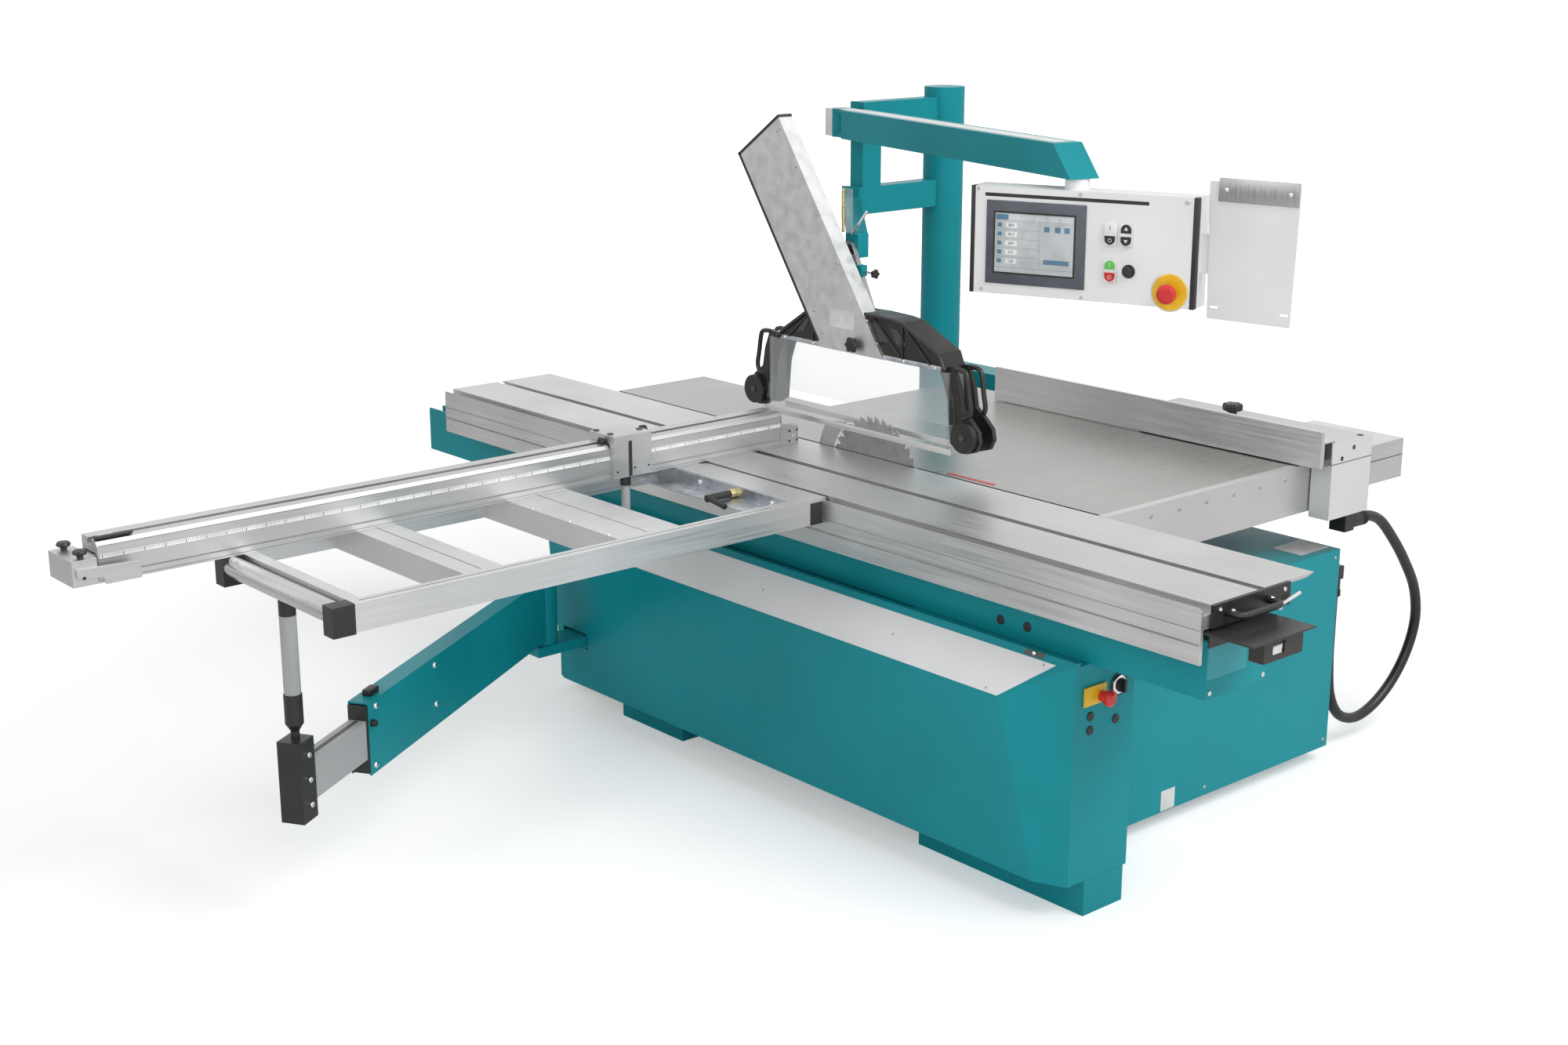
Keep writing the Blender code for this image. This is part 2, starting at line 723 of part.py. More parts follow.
def slide_rail():
    left, right = trough()
    rail = box("slide_rail", (RAIL_LEFT, RAIL_NEAR, RAIL_BOTTOM), (RAIL_RIGHT, RAIL_FAR, RAIL_TOP), "teal")
    channel = box(
        "rail_trough",
        (left, RAIL_NEAR + RAIL_WALL, RAIL_BOTTOM + RAIL_WALL),
        (right, RAIL_FAR + 0.010, RAIL_TOP + 0.010),
    )
    under = box(
        "rail_underside",
        (right + RAIL_WALL, RAIL_NEAR + RAIL_WALL, RAIL_BOTTOM - 0.010),
        (RAIL_RIGHT - RAIL_WALL, RAIL_FAR - RAIL_WALL, RAIL_TOP - RAIL_WALL),
    )
    notch = box(
        "blade_notch",
        (right + 0.004, BLADE_Y - BLADE_RADIUS - 0.100, RAIL_BOTTOM - 0.010),
        (RAIL_RIGHT + 0.010, MOTOR_Y + LIFT_ARM_RADIUS, RAIL_TOP + 0.010),
    )
    fixed(cut(rail, channel, under, notch))
    tray = boxes(
        "rail_tray",
        [((FIN_OUTER + 0.011, -TRAY_REACH, TRAY_TOP - TRAY_SHEET), (-0.168, RAIL_NEAR - GAP, TRAY_TOP))],
        "black",
    )
    tongue_low = (RAIL_LEFT, RAIL_NEAR - GAP - TRAY_SHEET, RAIL_TOP - 0.090)
    tongue = box("tray_tongue", tongue_low, (-0.170, RAIL_NEAR - GAP, TRAY_TOP - TRAY_SHEET / 2))
    lamp_low = (RAIL_LEFT, 0.030 - TRAY_REACH, TRAY_TOP - 0.066)
    front = box("tray_front", lamp_low, (-0.170, 0.070 - TRAY_REACH, TRAY_TOP - TRAY_SHEET / 2))
    fixed(join(tray, tongue, front))


def roller_carriage():
    left, right = trough()
    low = (left + CARRIAGE_SIDE_GAP, CARRIAGE_NEAR, RAIL_BOTTOM + RAIL_WALL + GAP)
    high = (right - CARRIAGE_SIDE_GAP, CARRIAGE_NEAR + CARRIAGE_LENGTH, -SLIDER_DEPTH - GAP)
    carriage = box("roller_carriage", low, high, "steel")
    windows = []
    pitch = CARRIAGE_LENGTH / 3
    for i in range(3):
        near = CARRIAGE_NEAR + pitch * i
        windows.append(
            (
                (low[0] - 0.010, near + 0.050, low[2] + 0.030),
                (high[0] + 0.010, near + pitch - 0.050, high[2] - 0.030),
            )
        )
    cut(carriage, boxes("carriage_windows", windows))
    place = (left, CARRIAGE_NEAR, low[2])
    hang(pivot("carriage_travel", place), place, carriage)


def slider_outline():
    slot_left = -SLOT_CENTRE - SLOT_MOUTH / 2
    slot_right = -SLOT_CENTRE + SLOT_MOUTH / 2
    chamber_left = -SLOT_CENTRE - SLOT_CHAMBER / 2
    chamber_right = -SLOT_CENTRE + SLOT_CHAMBER / 2
    lip = -0.3 * SLOT_DEPTH
    apron_inner = FIN_OUTER + APRON_WALL
    outline = [
        (0, 0),
        (0, -FLANGE_EDGE),
        (-0.030, -FLANGE_DEPTH),
        (-FLANGE_WIDTH, -FLANGE_DEPTH),
        (-FLANGE_WIDTH, -SLIDER_DEPTH),
        (apron_inner, -SLIDER_DEPTH),
        (apron_inner, -APRON_DEPTH),
        (FIN_OUTER, -APRON_DEPTH),
        (FIN_OUTER, -FIN_TOP),
        (FIN_INNER, -FIN_TOP),
        (FIN_INNER, -GROOVE_DEPTH),
        (SLIDER_LEFT, -GROOVE_DEPTH),
        (SLIDER_LEFT, 0),
        (slot_left, 0),
        (slot_left, lip),
        (chamber_left, lip),
        (chamber_left, -SLOT_DEPTH),
        (chamber_right, -SLOT_DEPTH),
        (chamber_right, lip),
        (slot_right, lip),
        (slot_right, 0),
    ]
    low = -SLIDER_DEPTH + 0.6 * PROFILE_WALL
    hollows = []
    for left, right in (
        (SLIDER_LEFT + PROFILE_WALL, chamber_left - PROFILE_WALL),
        (chamber_right + PROFILE_WALL, -FLANGE_WIDTH - PROFILE_WALL),
    ):
        hollows.append([(left, low), (right, low), (right, -PROFILE_WALL), (left, -PROFILE_WALL)])
    return outline, hollows


END_PLATE = 0.008
HANDLE_RADIUS = 0.008
HANDLE_LEFT = -0.325
HANDLE_RIGHT = -0.180
HANDLE_REACH = 0.042
HANDLE_Z = -0.026
LEVER_X = -0.150
LEVER_HUB = 0.009


def sliding_table(travel, place):
    outline, hollows = slider_outline()
    table = prism("sliding_table", outline, "Y", 0, SLIDER_LENGTH, "aluminium", hollows)
    plate_near = -END_PLATE - GAP
    plate = box(
        "table_end_block",
        (SLIDER_LEFT, plate_near, -SLIDER_DEPTH),
        (-FLANGE_WIDTH, -GAP, -0.001),
        "black",
    )
    foot = plate_near - GAP
    bend = 0.018
    reach = foot - HANDLE_REACH
    left = arc((HANDLE_LEFT + bend, reach + bend), bend, 180, 270, 4)
    right = arc((HANDLE_RIGHT - bend, reach + bend), bend, 270, 360, 4)
    run = [(HANDLE_LEFT, foot), *left, *right, (HANDLE_RIGHT, foot)]
    handle = pipe("push_handle", [(x, y, HANDLE_Z) for x, y in run], HANDLE_RADIUS, "black")
    hang(travel, place, table, plate, handle)
    hub_z = -SLIDER_DEPTH + LEVER_HUB + 0.0005
    hub = (LEVER_X, foot, hub_z)
    lever = rod("lock_lever", hub, (LEVER_X, foot - 0.014, hub_z), LEVER_HUB, "chrome")
    tip = (LEVER_X + 0.075, foot - 0.009, hub_z + 0.015)
    join(lever, rod("lever_bar", (LEVER_X, foot - 0.009, hub_z), tip, 0.0045, sides=12))
    hang(pivot("lock_lever_turn", hub, travel, place), hub, lever)


def grid_of_boxes(left, right, near, far, low, high, columns, rows, rib):
    """Boxes that fill a rectangle between ribs."""
    width = (right - left - rib * (columns - 1)) / columns
    depth = (far - near - rib * (rows - 1)) / rows
    found = []
    for i in range(columns):
        for j in range(rows):
            x = left + i * (width + rib)
            y = near + j * (depth + rib)
            found.append(((x, y, low), (x + width, y + depth, high)))
    return found


def saw_table():
    left = TABLE_GAP
    low = -SAW_TABLE_DEPTH
    table = box("saw_table", (left, SAW_TABLE_NEAR, low), (SAW_TABLE_RIGHT, SAW_TABLE_FAR, 0), "ground_steel")
    rim = TABLE_SKIN
    under = low - 0.010
    split = INSERT_RIGHT + rim
    near_edge = SAW_TABLE_NEAR + rim
    pockets = grid_of_boxes(
        split + rim, SAW_TABLE_RIGHT - rim, near_edge, SAW_TABLE_FAR - rim, under, -TABLE_SKIN, 2, 4, rim
    )
    pockets += grid_of_boxes(
        left + rim, split, near_edge, INSERT_NEAR - rim, under, -TABLE_SKIN, 1, 2, rim
    )
    throat = box(
        "insert_throat",
        (left - 0.010, INSERT_NEAR + rim, under),
        (INSERT_RIGHT - rim, INSERT_FAR - rim, 0.010),
    )
    seat = box(
        "insert_seat",
        (left - 0.010, INSERT_NEAR, -TABLE_SKIN),
        (INSERT_RIGHT, INSERT_FAR, 0.010),
    )
    cut(table, boxes("table_pockets", pockets), throat, seat)
    insert = box(
        "table_insert",
        (left, INSERT_NEAR + INSERT_FIT, -TABLE_SKIN + GAP),
        (INSERT_RIGHT - INSERT_FIT, INSERT_FAR - INSERT_FIT, 0),
        "ground_steel",
    )
    rear_near = SAW_TABLE_FAR + GAP
    rear = box(
        "rear_table",
        (left, rear_near, low),
        (REAR_TABLE_RIGHT, rear_near + REAR_TABLE_LENGTH, 0),
        "ground_steel",
    )
    rear_hollow = box(
        "rear_hollow_under",
        (left + rim, rear_near + rim, under),
        (REAR_TABLE_RIGHT - rim, rear_near + REAR_TABLE_LENGTH - rim, -TABLE_SKIN),
    )
    cut(rear, rear_hollow)
    rail_far = SAW_TABLE_NEAR - GAP
    front = (rail_far - FRONT_RAIL_THICK, rail_far)
    wall = 0.004
    outline = [(front[0], -FRONT_RAIL_DEPTH), (front[1], -FRONT_RAIL_DEPTH), (front[1], 0), (front[0], 0)]
    inner = [
        (front[0] + wall, wall - FRONT_RAIL_DEPTH),
        (front[1] - wall, wall - FRONT_RAIL_DEPTH),
        (front[1] - wall, -0.062),
        (front[0] + wall, -0.062),
    ]
    rail = prism("table_front_rail", outline, "X", 0.002, SAW_TABLE_RIGHT + 0.005, "light_grey", [inner])
    fixed(table, insert, rear, rail)


def guide_rail():
    left = SAW_TABLE_RIGHT + GAP
    guide = box("guide_rail", (left, GUIDE_NEAR, GUIDE_BOTTOM), (GUIDE_RIGHT, GUIDE_FAR, GUIDE_TOP), "teal")
    hollow = box(
        "guide_hollow",
        (left + GUIDE_WALL, GUIDE_NEAR + GUIDE_WALL, GUIDE_BOTTOM - 0.010),
        (GUIDE_RIGHT - GUIDE_WALL, GUIDE_FAR - GUIDE_WALL, GUIDE_TOP - GUIDE_WALL),
    )
    fixed(cut(guide, hollow))


def support_beam():
    near = GUIDE_FAR + GAP
    far = COLUMN_Y + 0.080
    beam = box("support_beam", (BEAM_LEFT, near, BEAM_BOTTOM), (BEAM_RIGHT, far, BEAM_TOP), "teal")
    bracket_high = -SAW_TABLE_DEPTH - 0.005
    bracket = box(
        "beam_bracket",
        (BASE_RIGHT + GAP, HEAD_FAR - 0.050, BEAM_BOTTOM),
        (BEAM_LEFT + 0.010, HEAD_FAR, bracket_high),
    )
    plate_top = BEAM_BOTTOM + COLUMN_PLATE
    plate = box("column_plate", (COLUMN_X - 0.070, COLUMN_Y - 0.080, BEAM_BOTTOM), (BEAM_RIGHT, far, plate_top))
    hollow = box(
        "beam_hollow",
        (BEAM_LEFT + BEAM_WALL, near + BEAM_WALL, BEAM_BOTTOM - 0.010),
        (BEAM_RIGHT - BEAM_WALL, COLUMN_Y - 0.100, BEAM_TOP - BEAM_WALL),
    )
    room = rod(
        "column_room",
        (COLUMN_X, COLUMN_Y, plate_top),
        (COLUMN_X, COLUMN_Y, 0.050),
        COLUMN_RADIUS + 0.001,
        sides=48,
    )
    join(beam, bracket, plate)
    cut(beam, hollow, room)
    fixed(beam)


def column():
    bottom = BEAM_BOTTOM + COLUMN_PLATE + GAP
    inner = COLUMN_RADIUS - COLUMN_WALL
    profile = [
        (0, COLUMN_TOP),
        (COLUMN_RADIUS, COLUMN_TOP),
        (COLUMN_RADIUS, bottom),
        (inner, bottom),
        (inner, COLUMN_TOP - COLUMN_WALL),
        (0, COLUMN_TOP - COLUMN_WALL),
    ]
    tube = turned("column", profile, "teal", "Z", (COLUMN_X, COLUMN_Y, 0), 40)
    to_wall = COLUMN_X - COLUMN_RADIUS + 0.005
    arm = box("upper_arm", (ARM_START, COLUMN_Y - ARM_HALF, ARM_LOW), (to_wall, COLUMN_Y + ARM_HALF, ARM_HIGH))
    web_half = ARM_HALF - 0.010
    web = box(
        "barrel_web",
        (BARREL_X, COLUMN_Y - web_half, BARREL_LOW),
        (ARM_START + 0.010, COLUMN_Y + web_half, BARREL_HIGH),
    )
    barrel = rod("barrel", (BARREL_X, COLUMN_Y, BARREL_LOW), (BARREL_X, COLUMN_Y, BARREL_HIGH), BARREL_RADIUS)
    post = box(
        "arm_post",
        (ARM_START, COLUMN_Y - ARM_HALF + 0.002, BRACE_HIGH - 0.005),
        (ARM_START + 0.080, COLUMN_Y + ARM_HALF - 0.002, ARM_LOW + 0.005),
    )
    brace = box(
        "lower_arm",
        (BRACE_FLANGE + FLANGE_THICK - 0.002, COLUMN_Y - ARM_HALF, BRACE_LOW),
        (to_wall, COLUMN_Y + ARM_HALF, BRACE_HIGH),
    )
    flange = box(
        "arm_flange",
        (BRACE_FLANGE, COLUMN_Y - FLANGE_HALF, BOOM_LOW - 0.008),
        (BRACE_FLANGE + FLANGE_THICK, COLUMN_Y + FLANGE_HALF, BRACE_HIGH + 0.001),
    )
    fixed(join(tube, arm, web, barrel, post, brace, flange))


def guard_boom():
    """The bar from the column's flange to the guard's link."""
    end_x = HOOD_RIGHT + GAP + LINK_THICK + GAP
    face = BRACE_FLANGE - GAP
    flange = box(
        "guard_boom",
        (face - FLANGE_THICK, COLUMN_Y - FLANGE_HALF, BOOM_LOW - 0.008),
        (face, COLUMN_Y + FLANGE_HALF, BRACE_HIGH + 0.001),
        "light_grey",
    )
    start = Vector((face - FLANGE_THICK / 2, COLUMN_Y))
    end = Vector((end_x + 0.025, LINK_TOP_Y))
    side = (end - start).orthogonal().normalized() * BOOM_HALF
    outline = [start + side, end + side, end - side, start - side]
    bar = prism("boom_bar", [tuple(p) for p in outline], "Z", BOOM_LOW, BOOM_HIGH)
    tip = box(
        "boom_tip",
        (end_x, LINK_TOP_Y - BOOM_HALF, BOOM_LOW - 0.004),
        (end_x + 0.040, LINK_TOP_Y + BOOM_HALF, BOOM_HIGH - 0.003),
    )
    trim = box("boom_trim", (end_x - 0.100, 0, BOOM_LOW - 0.010), (end_x, COLUMN_Y, BOOM_HIGH + 0.010))
    trim_far = box(
        "boom_trim_far",
        (face, COLUMN_Y - 0.200, BOOM_LOW - 0.020),
        (face + 0.100, COLUMN_Y + 0.200, BOOM_HIGH + 0.100),
    )
    join(flange, bar, tip)
    fixed(cut(flange, trim, trim_far))


# Control panel


def panel_arm():
    """The swinging arm, in its own frame: its hinge at the origin and its length along x."""
    hinge = Vector((BARREL_X, COLUMN_Y, 0))
    swivel = Vector((SWIVEL_X, SWIVEL_Y, 0))
    reach = (swivel - hinge).length
    heading = math.degrees(math.atan2(swivel.y - hinge.y, swivel.x - hinge.x))
    holder = pivot("panel_arm_turn", hinge, turn=heading)
    end = reach + PANEL_ARM_END
    outline = [
        (PANEL_ARM_START, PANEL_ARM_LOW),
        (end, PANEL_ARM_LOW),
        (end - PANEL_ARM_SLANT, PANEL_ARM_HIGH),
        (PANEL_ARM_START, PANEL_ARM_HIGH),
    ]
    arm = prism("panel_arm", outline, "Y", -PANEL_ARM_HALF, PANEL_ARM_HALF, "aluminium")
    lug_half = 0.028
    for name, low, high in (
        ("upper_lug", BARREL_HIGH + GAP, PANEL_ARM_HIGH),
        ("lower_lug", PANEL_ARM_LOW, BARREL_LOW - GAP),
    ):
        disc = rod(name, (0, 0, low), (0, 0, high), BARREL_RADIUS)
        strap = box(name + "_strap", (0, -lug_half, low), (PANEL_ARM_START + 0.010, lug_half, high))
        join(arm, disc, strap)
    inner = PANEL_ARM_HALF - PANEL_ARM_WALL
    hollow = box(
        "panel_arm_hollow",
        (PANEL_ARM_START + 0.020, -inner, PANEL_ARM_LOW - 0.010),
        (reach - PANEL_ARM_SLANT, inner, PANEL_ARM_HIGH - PANEL_ARM_WALL),
    )
    cut(arm, hollow)
    hang(holder, (0, 0, 0), arm)
    return pivot("panel_swivel", (reach, 0, 0), holder, turn=PANEL_TURN - heading)


BUTTONS = (  # centre from the panel's left edge, and height
    ("start_button", 0.389, 0.655),
    ("fence_button", 0.432, 0.655),
    ("blade_button", 0.392, 0.561),
)
BUTTON_STANDOFF = 0.008
PANEL_ESTOP = (0.552, 0.516)
PANEL_ESTOP_RADIUS = 0.025
SELECTOR = (0.440, 0.562)


def control_panel(swivel):
    """The panel, in its own frame: the swivel at the origin, x to the right along its face, y to its back."""
    panel = box(
        "control_panel",
        (-PANEL_LEFT, PANEL_FRONT, PANEL_LOW),
        (PANEL_RIGHT, PANEL_REAR, PANEL_HIGH),
        "aluminium",
    )
    hollow = box(
        "panel_hollow",
        (PANEL_WALL - PANEL_LEFT, PANEL_FRONT + PANEL_WALL, PANEL_LOW + PANEL_WALL),
        (PANEL_RIGHT - PANEL_WALL, PANEL_REAR + 0.010, PANEL_HIGH - PANEL_WALL),
    )
    neck = rod("swivel_neck", (0, 0, PANEL_HIGH - 0.001), (0, 0, PANEL_ARM_LOW - GAP), 0.032)
    join(panel, neck)
    cut(panel, hollow)
    through = PANEL_FRONT + PANEL_WALL + 0.001
    openings = []
    for name, along, height in BUTTONS:
        x = along - PANEL_LEFT
        half_w, half_h = BUTTON_WIDTH / 2, BUTTON_HEIGHT / 2
        low = (x - half_w, PANEL_FRONT - BUTTON_STANDOFF, height - half_h)
        button = box(name, low, (x + half_w, through, height + half_h), "dark")
        clear = SLIDING
        openings.append(
            (
                (x - half_w - clear, PANEL_FRONT - 0.010, height - half_h - clear),
                (x + half_w + clear, PANEL_FRONT + PANEL_WALL + 0.010, height + half_h + clear),
            )
        )
        place = (x, PANEL_FRONT, height)
        hang(pivot(name + "_press", place, swivel), place, button)
    cut(panel, boxes("button_openings", openings))
    x, height = PANEL_ESTOP[0] - PANEL_LEFT, PANEL_ESTOP[1]
    place = (x, through, height)
    radius = PANEL_ESTOP_RADIUS
    profile = [
        (0, 0),
        (ESTOP_NECK, 0),
        (ESTOP_NECK, -0.024),
        (radius, -0.028),
        (radius, -0.036),
        (0.7 * radius, -0.041),
        (0, -0.042),
    ]
    estop = turned("panel_estop_button", profile, "red", "Y", place)
    hang(pivot("panel_estop_press", place, swivel), place, estop)
    hole_start = (x, PANEL_FRONT - 0.010, height)
    cut(panel, rod("panel_estop_hole", hole_start, (x, PANEL_FRONT + 0.013, height), ESTOP_NECK + RUNNING))
    x, height = SELECTOR[0] - PANEL_LEFT, SELECTOR[1]
    place = (x, PANEL_FRONT - GAP, height)
    selector = rod("panel_selector", place, (x, PANEL_FRONT - 0.020, height), 0.013, "black", end_radius=0.011)
    hang(pivot("selector_turn", place, swivel), place, selector)
    hang(swivel, (0, 0, 0), panel)


def document_holder(swivel):
    """A sheet on the panel's right end, turned a little towards the reader, on a short arm."""
    edge = PANEL_RIGHT + GAP
    place = (edge + 0.018, PANEL_FRONT + 0.030, 0)
    holder = pivot("holder_frame", place, swivel, turn=HOLDER_TURN)
    taper = 0.010
    outline = [
        (taper, HOLDER_LOW),
        (HOLDER_WIDTH - taper, HOLDER_LOW),
        (HOLDER_WIDTH, HOLDER_HIGH),
        (0, HOLDER_HIGH),
    ]
    sheet = prism("document_holder", outline, "Y", -HOLDER_SHEET, 0, "light_grey")
    slot_z = HOLDER_LOW + 0.030
    slots = []
    for centre in (0.028, HOLDER_WIDTH - 0.028):
        slots.append(((centre - 0.012, -0.010, slot_z - 0.003), (centre + 0.012, 0.010, slot_z + 0.003)))
    cut(sheet, boxes("holder_slots", slots))
    hang(holder, (0, 0, 0), sheet)
    arm_low = (edge, PANEL_FRONT + 0.028, PANEL_LOW + 0.090)
    arm = box("holder_arm", arm_low, (edge + 0.060, PANEL_FRONT + 0.046, PANEL_LOW + 0.190))
    arm.parent = swivel
    join(sheet, arm)


# Guard


def duct_outline(grow=0.0, longer=0.0):
    """The slanting duct seen from its side, optionally with its long sides or its ends moved outwards."""
    slant = math.radians(DUCT_ANGLE)
    along = Vector((math.cos(slant), math.sin(slant)))
    across = Vector((math.sin(slant), -math.cos(slant)))
    start = Vector((DUCT_NEAR, DUCT_LOW)) - across * grow - along * longer
    width = DUCT_WIDTH + 2 * grow
    top = start + along * (DUCT_LENGTH + 2 * longer)
    foot = width / math.tan(slant)
    return [tuple(p) for p in (start, start + across * width + along * foot, top + across * width, top)]


def hood_outline(low, inset=0.0):
    """The hood's arch seen from its side, optionally a wall's thickness further in."""
    return [
        (SHIELD_NEAR + 0.007 + inset, low),
        (SHIELD_FAR - 0.030 - inset, low),
        (SHIELD_FAR - 0.055 - inset, 0.318 - inset),
        (1.676 - inset, 0.396 - inset),
        (1.600, 0.403 - inset),
        (1.438, 0.407 - inset),
        (1.350, 0.404 - inset),
        (1.310, 0.399 - inset),
        (SHIELD_NEAR + 0.028 + inset, 0.335 - inset),
    ]


def saw_guard():
    link_place = (HOOD_RIGHT, LINK_TOP_Y, LINK_TOP_Z)
    link_pivot = pivot("guard_raise", link_place)
    link_start = HOOD_RIGHT + GAP
    link = prism(
        "guard_link",
        capsule((LINK_TOP_Y, LINK_TOP_Z), (LINK_LOW_Y, LINK_LOW_Z), LINK_RADIUS),
        "X",
        link_start,
        link_start + LINK_THICK,
        "steel",
    )
    hang(link_pivot, link_place, link)
    hood_place = (HOOD_RIGHT, LINK_LOW_Y, LINK_LOW_Z)
    level = pivot("guard_level", hood_place, link_pivot, link_place)
    duct = prism("guard_duct", duct_outline(), "X", DUCT_LEFT, DUCT_RIGHT, "light_grey")
    inside = prism(
        "duct_inside",
        duct_outline(-DUCT_WALL, 0.050),
        "X",
        DUCT_LEFT + DUCT_WALL,
        DUCT_RIGHT - DUCT_WALL,
    )
    cut(duct, inside)
    hood_low = SHIELD_HIGH + GAP
    hood = prism("guard_hood", hood_outline(hood_low), "X", HOOD_LEFT, HOOD_RIGHT, "light_grey")
    hood_inside = prism(
        "hood_inside",
        hood_outline(hood_low - 0.010, DUCT_WALL),
        "X",
        HOOD_LEFT + DUCT_WALL,
        HOOD_RIGHT - DUCT_WALL,
    )
    room = prism("duct_room", duct_outline(GAP, 0.050), "X", DUCT_LEFT - 0.010, DUCT_RIGHT + GAP)
    cut(hood, hood_inside, room)
    shield = box(
        "guard_shield",
        (SHIELD_LEFT, SHIELD_NEAR, SHIELD_LOW),
        (SHIELD_RIGHT, SHIELD_FAR, SHIELD_HIGH),
        "dark",
    )
    shield_inside = box(
        "shield_inside",
        (SHIELD_LEFT + SHIELD_WALL, SHIELD_NEAR + SHIELD_WALL, SHIELD_LOW - 0.010),
        (SHIELD_RIGHT - SHIELD_WALL, SHIELD_FAR - SHIELD_WALL, SHIELD_HIGH + 0.010),
    )
    wheel_right = SHIELD_LEFT + WHEEL_WIDTH - 0.007
    arm_left = wheel_right + GAP
    wheels = []
    for name, end, outward in (("near", SHIELD_NEAR, -1), ("far", SHIELD_FAR, 1)):
        hub = end + outward * WHEEL_REACH
        low, high = sorted((end - outward * 0.002, hub + outward * 0.014))
        join(shield, box(f"{name}_wheel_arm", (arm_left, low, 0.105), (arm_left + 0.012, high, 0.150)))
        place = (wheel_right - WHEEL_WIDTH, hub, 0.126)
        end_place = (wheel_right, hub, 0.126)
        wheel = rod(f"guard_wheel_{name}", place, end_place, WHEEL_RADIUS, "black", sides=32)
        wheels.append((wheel, place))
    under_right = box(
        "under_right_wall",
        (SHIELD_RIGHT - 0.010, SHIELD_NEAR - 0.010, SHIELD_LOW - 0.010),
        (SHIELD_RIGHT + 0.010, SHIELD_FAR + 0.010, SHIELD_RIGHT_LOW),
    )
    cut(shield, shield_inside, under_right)
    hang(level, hood_place, duct, hood, shield)
    for wheel, place in wheels:
        hang(pivot(wheel.name + "_spin", place, level, hood_place), place, wheel)


# Rip fence


def rip_fence():
    place = (RIP_LEFT, RIP_NEAR, 0)
    travel = pivot("rip_travel", place)
    top = box("rip_carriage", (RIP_LEFT, RIP_NEAR, GAP), (RIP_RIGHT, RIP_FAR, RIP_TOP), "light_grey")
    skirt = box(
        "rip_skirt",
        (RIP_LEFT, RIP_NEAR, RIP_SKIRT_BOTTOM),
        (RIP_RIGHT, RIP_NEAR + RIP_SKIRT, 0.010),
    )
    hollow = box(
        "rip_hollow",
        (RIP_LEFT + RIP_WALL, RIP_NEAR + RIP_SKIRT + RIP_WALL, -0.010),
        (RIP_RIGHT - RIP_WALL, RIP_FAR - RIP_WALL, RIP_TOP - RIP_WALL),
    )
    skirt_hollow = box(
        "skirt_hollow",
        (RIP_LEFT + RIP_WALL, RIP_NEAR + RIP_WALL, RIP_SKIRT_BOTTOM + RIP_WALL),
        (RIP_RIGHT - RIP_WALL, RIP_NEAR + RIP_SKIRT + 0.010, -0.010),
    )
    join(top, skirt)
    cut(top, hollow, skirt_hollow)
    gland_low = (0.950, RIP_NEAR + 0.008, RIP_SKIRT_BOTTOM - 0.052)
    gland_high = (0.992, RIP_NEAR + 0.060, RIP_SKIRT_BOTTOM - GAP)
    gland = box("hose_gland", gland_low, gland_high, "black")
    axis = HOSE_ROUTE[0]
    join(gland, rod("gland_barrel", (0.985, axis[1], axis[2]), (axis[0] - GAP, axis[1], axis[2]), 0.020))
    hang(travel, place, top, gland)
    knob_place = ((RIP_LEFT + RIP_RIGHT) / 2, RIP_KNOB_Y, RIP_TOP + GAP)
    radius = RIP_KNOB_RADIUS
    profile = [
        (0, 0.038),
        (0.8 * radius, 0.038),
        (radius, 0.032),
        (radius, 0.018),
        (0.5 * radius, 0.014),
        (0.5 * radius, 0),
        (0, 0),
    ]
    knob = turned("rip_knob", profile, "black", "Z", knob_place)
    hang(pivot("rip_knob_turn", knob_place, travel, place), knob_place, knob)
    right = RIP_LEFT - SLIDING
    beam_left = right - 0.0425
    left = beam_left - RIP_PLATE
    outline = [
        (left, 0.003),
        (beam_left, 0.003),
        (beam_left, 0.012),
        (right, 0.012),
        (right, 0.075),
        (beam_left, 0.075),
        (beam_left, RIP_FENCE_HEIGHT),
        (left, RIP_FENCE_HEIGHT),
    ]
    wall = 0.004
    hole = [
        (beam_left + wall, 0.012 + wall),
        (right - wall, 0.012 + wall),
        (right - wall, 0.075 - wall),
        (beam_left + wall, 0.075 - wall),
    ]
    fence = prism("rip_fence", outline, "Y", RIP_NEAR, RIP_NEAR + RIP_FENCE_LENGTH, "aluminium", [hole])
    hang(pivot("rip_fence_slide", place, travel, place), place, fence)


def hose():
    fixed(pipe("control_hose", smooth_route(HOSE_ROUTE, 0.045), HOSE_RADIUS, "rubber", 2))
    x, y, end_z = HOSE_ROUTE[-1]
    top_z = end_z + 0.060
    elbow = rod("hose_elbow", (x, y, end_z + GAP), (x, y, top_z), 0.019, "black")
    side = box(
        "elbow_block",
        (CABINET_RIGHT + GAP, y - 0.019, top_z - 0.030),
        (x + 0.019, y + 0.019, top_z + 0.008),
    )
    fixed(join(elbow, side))


# Outrigger and crosscut fence


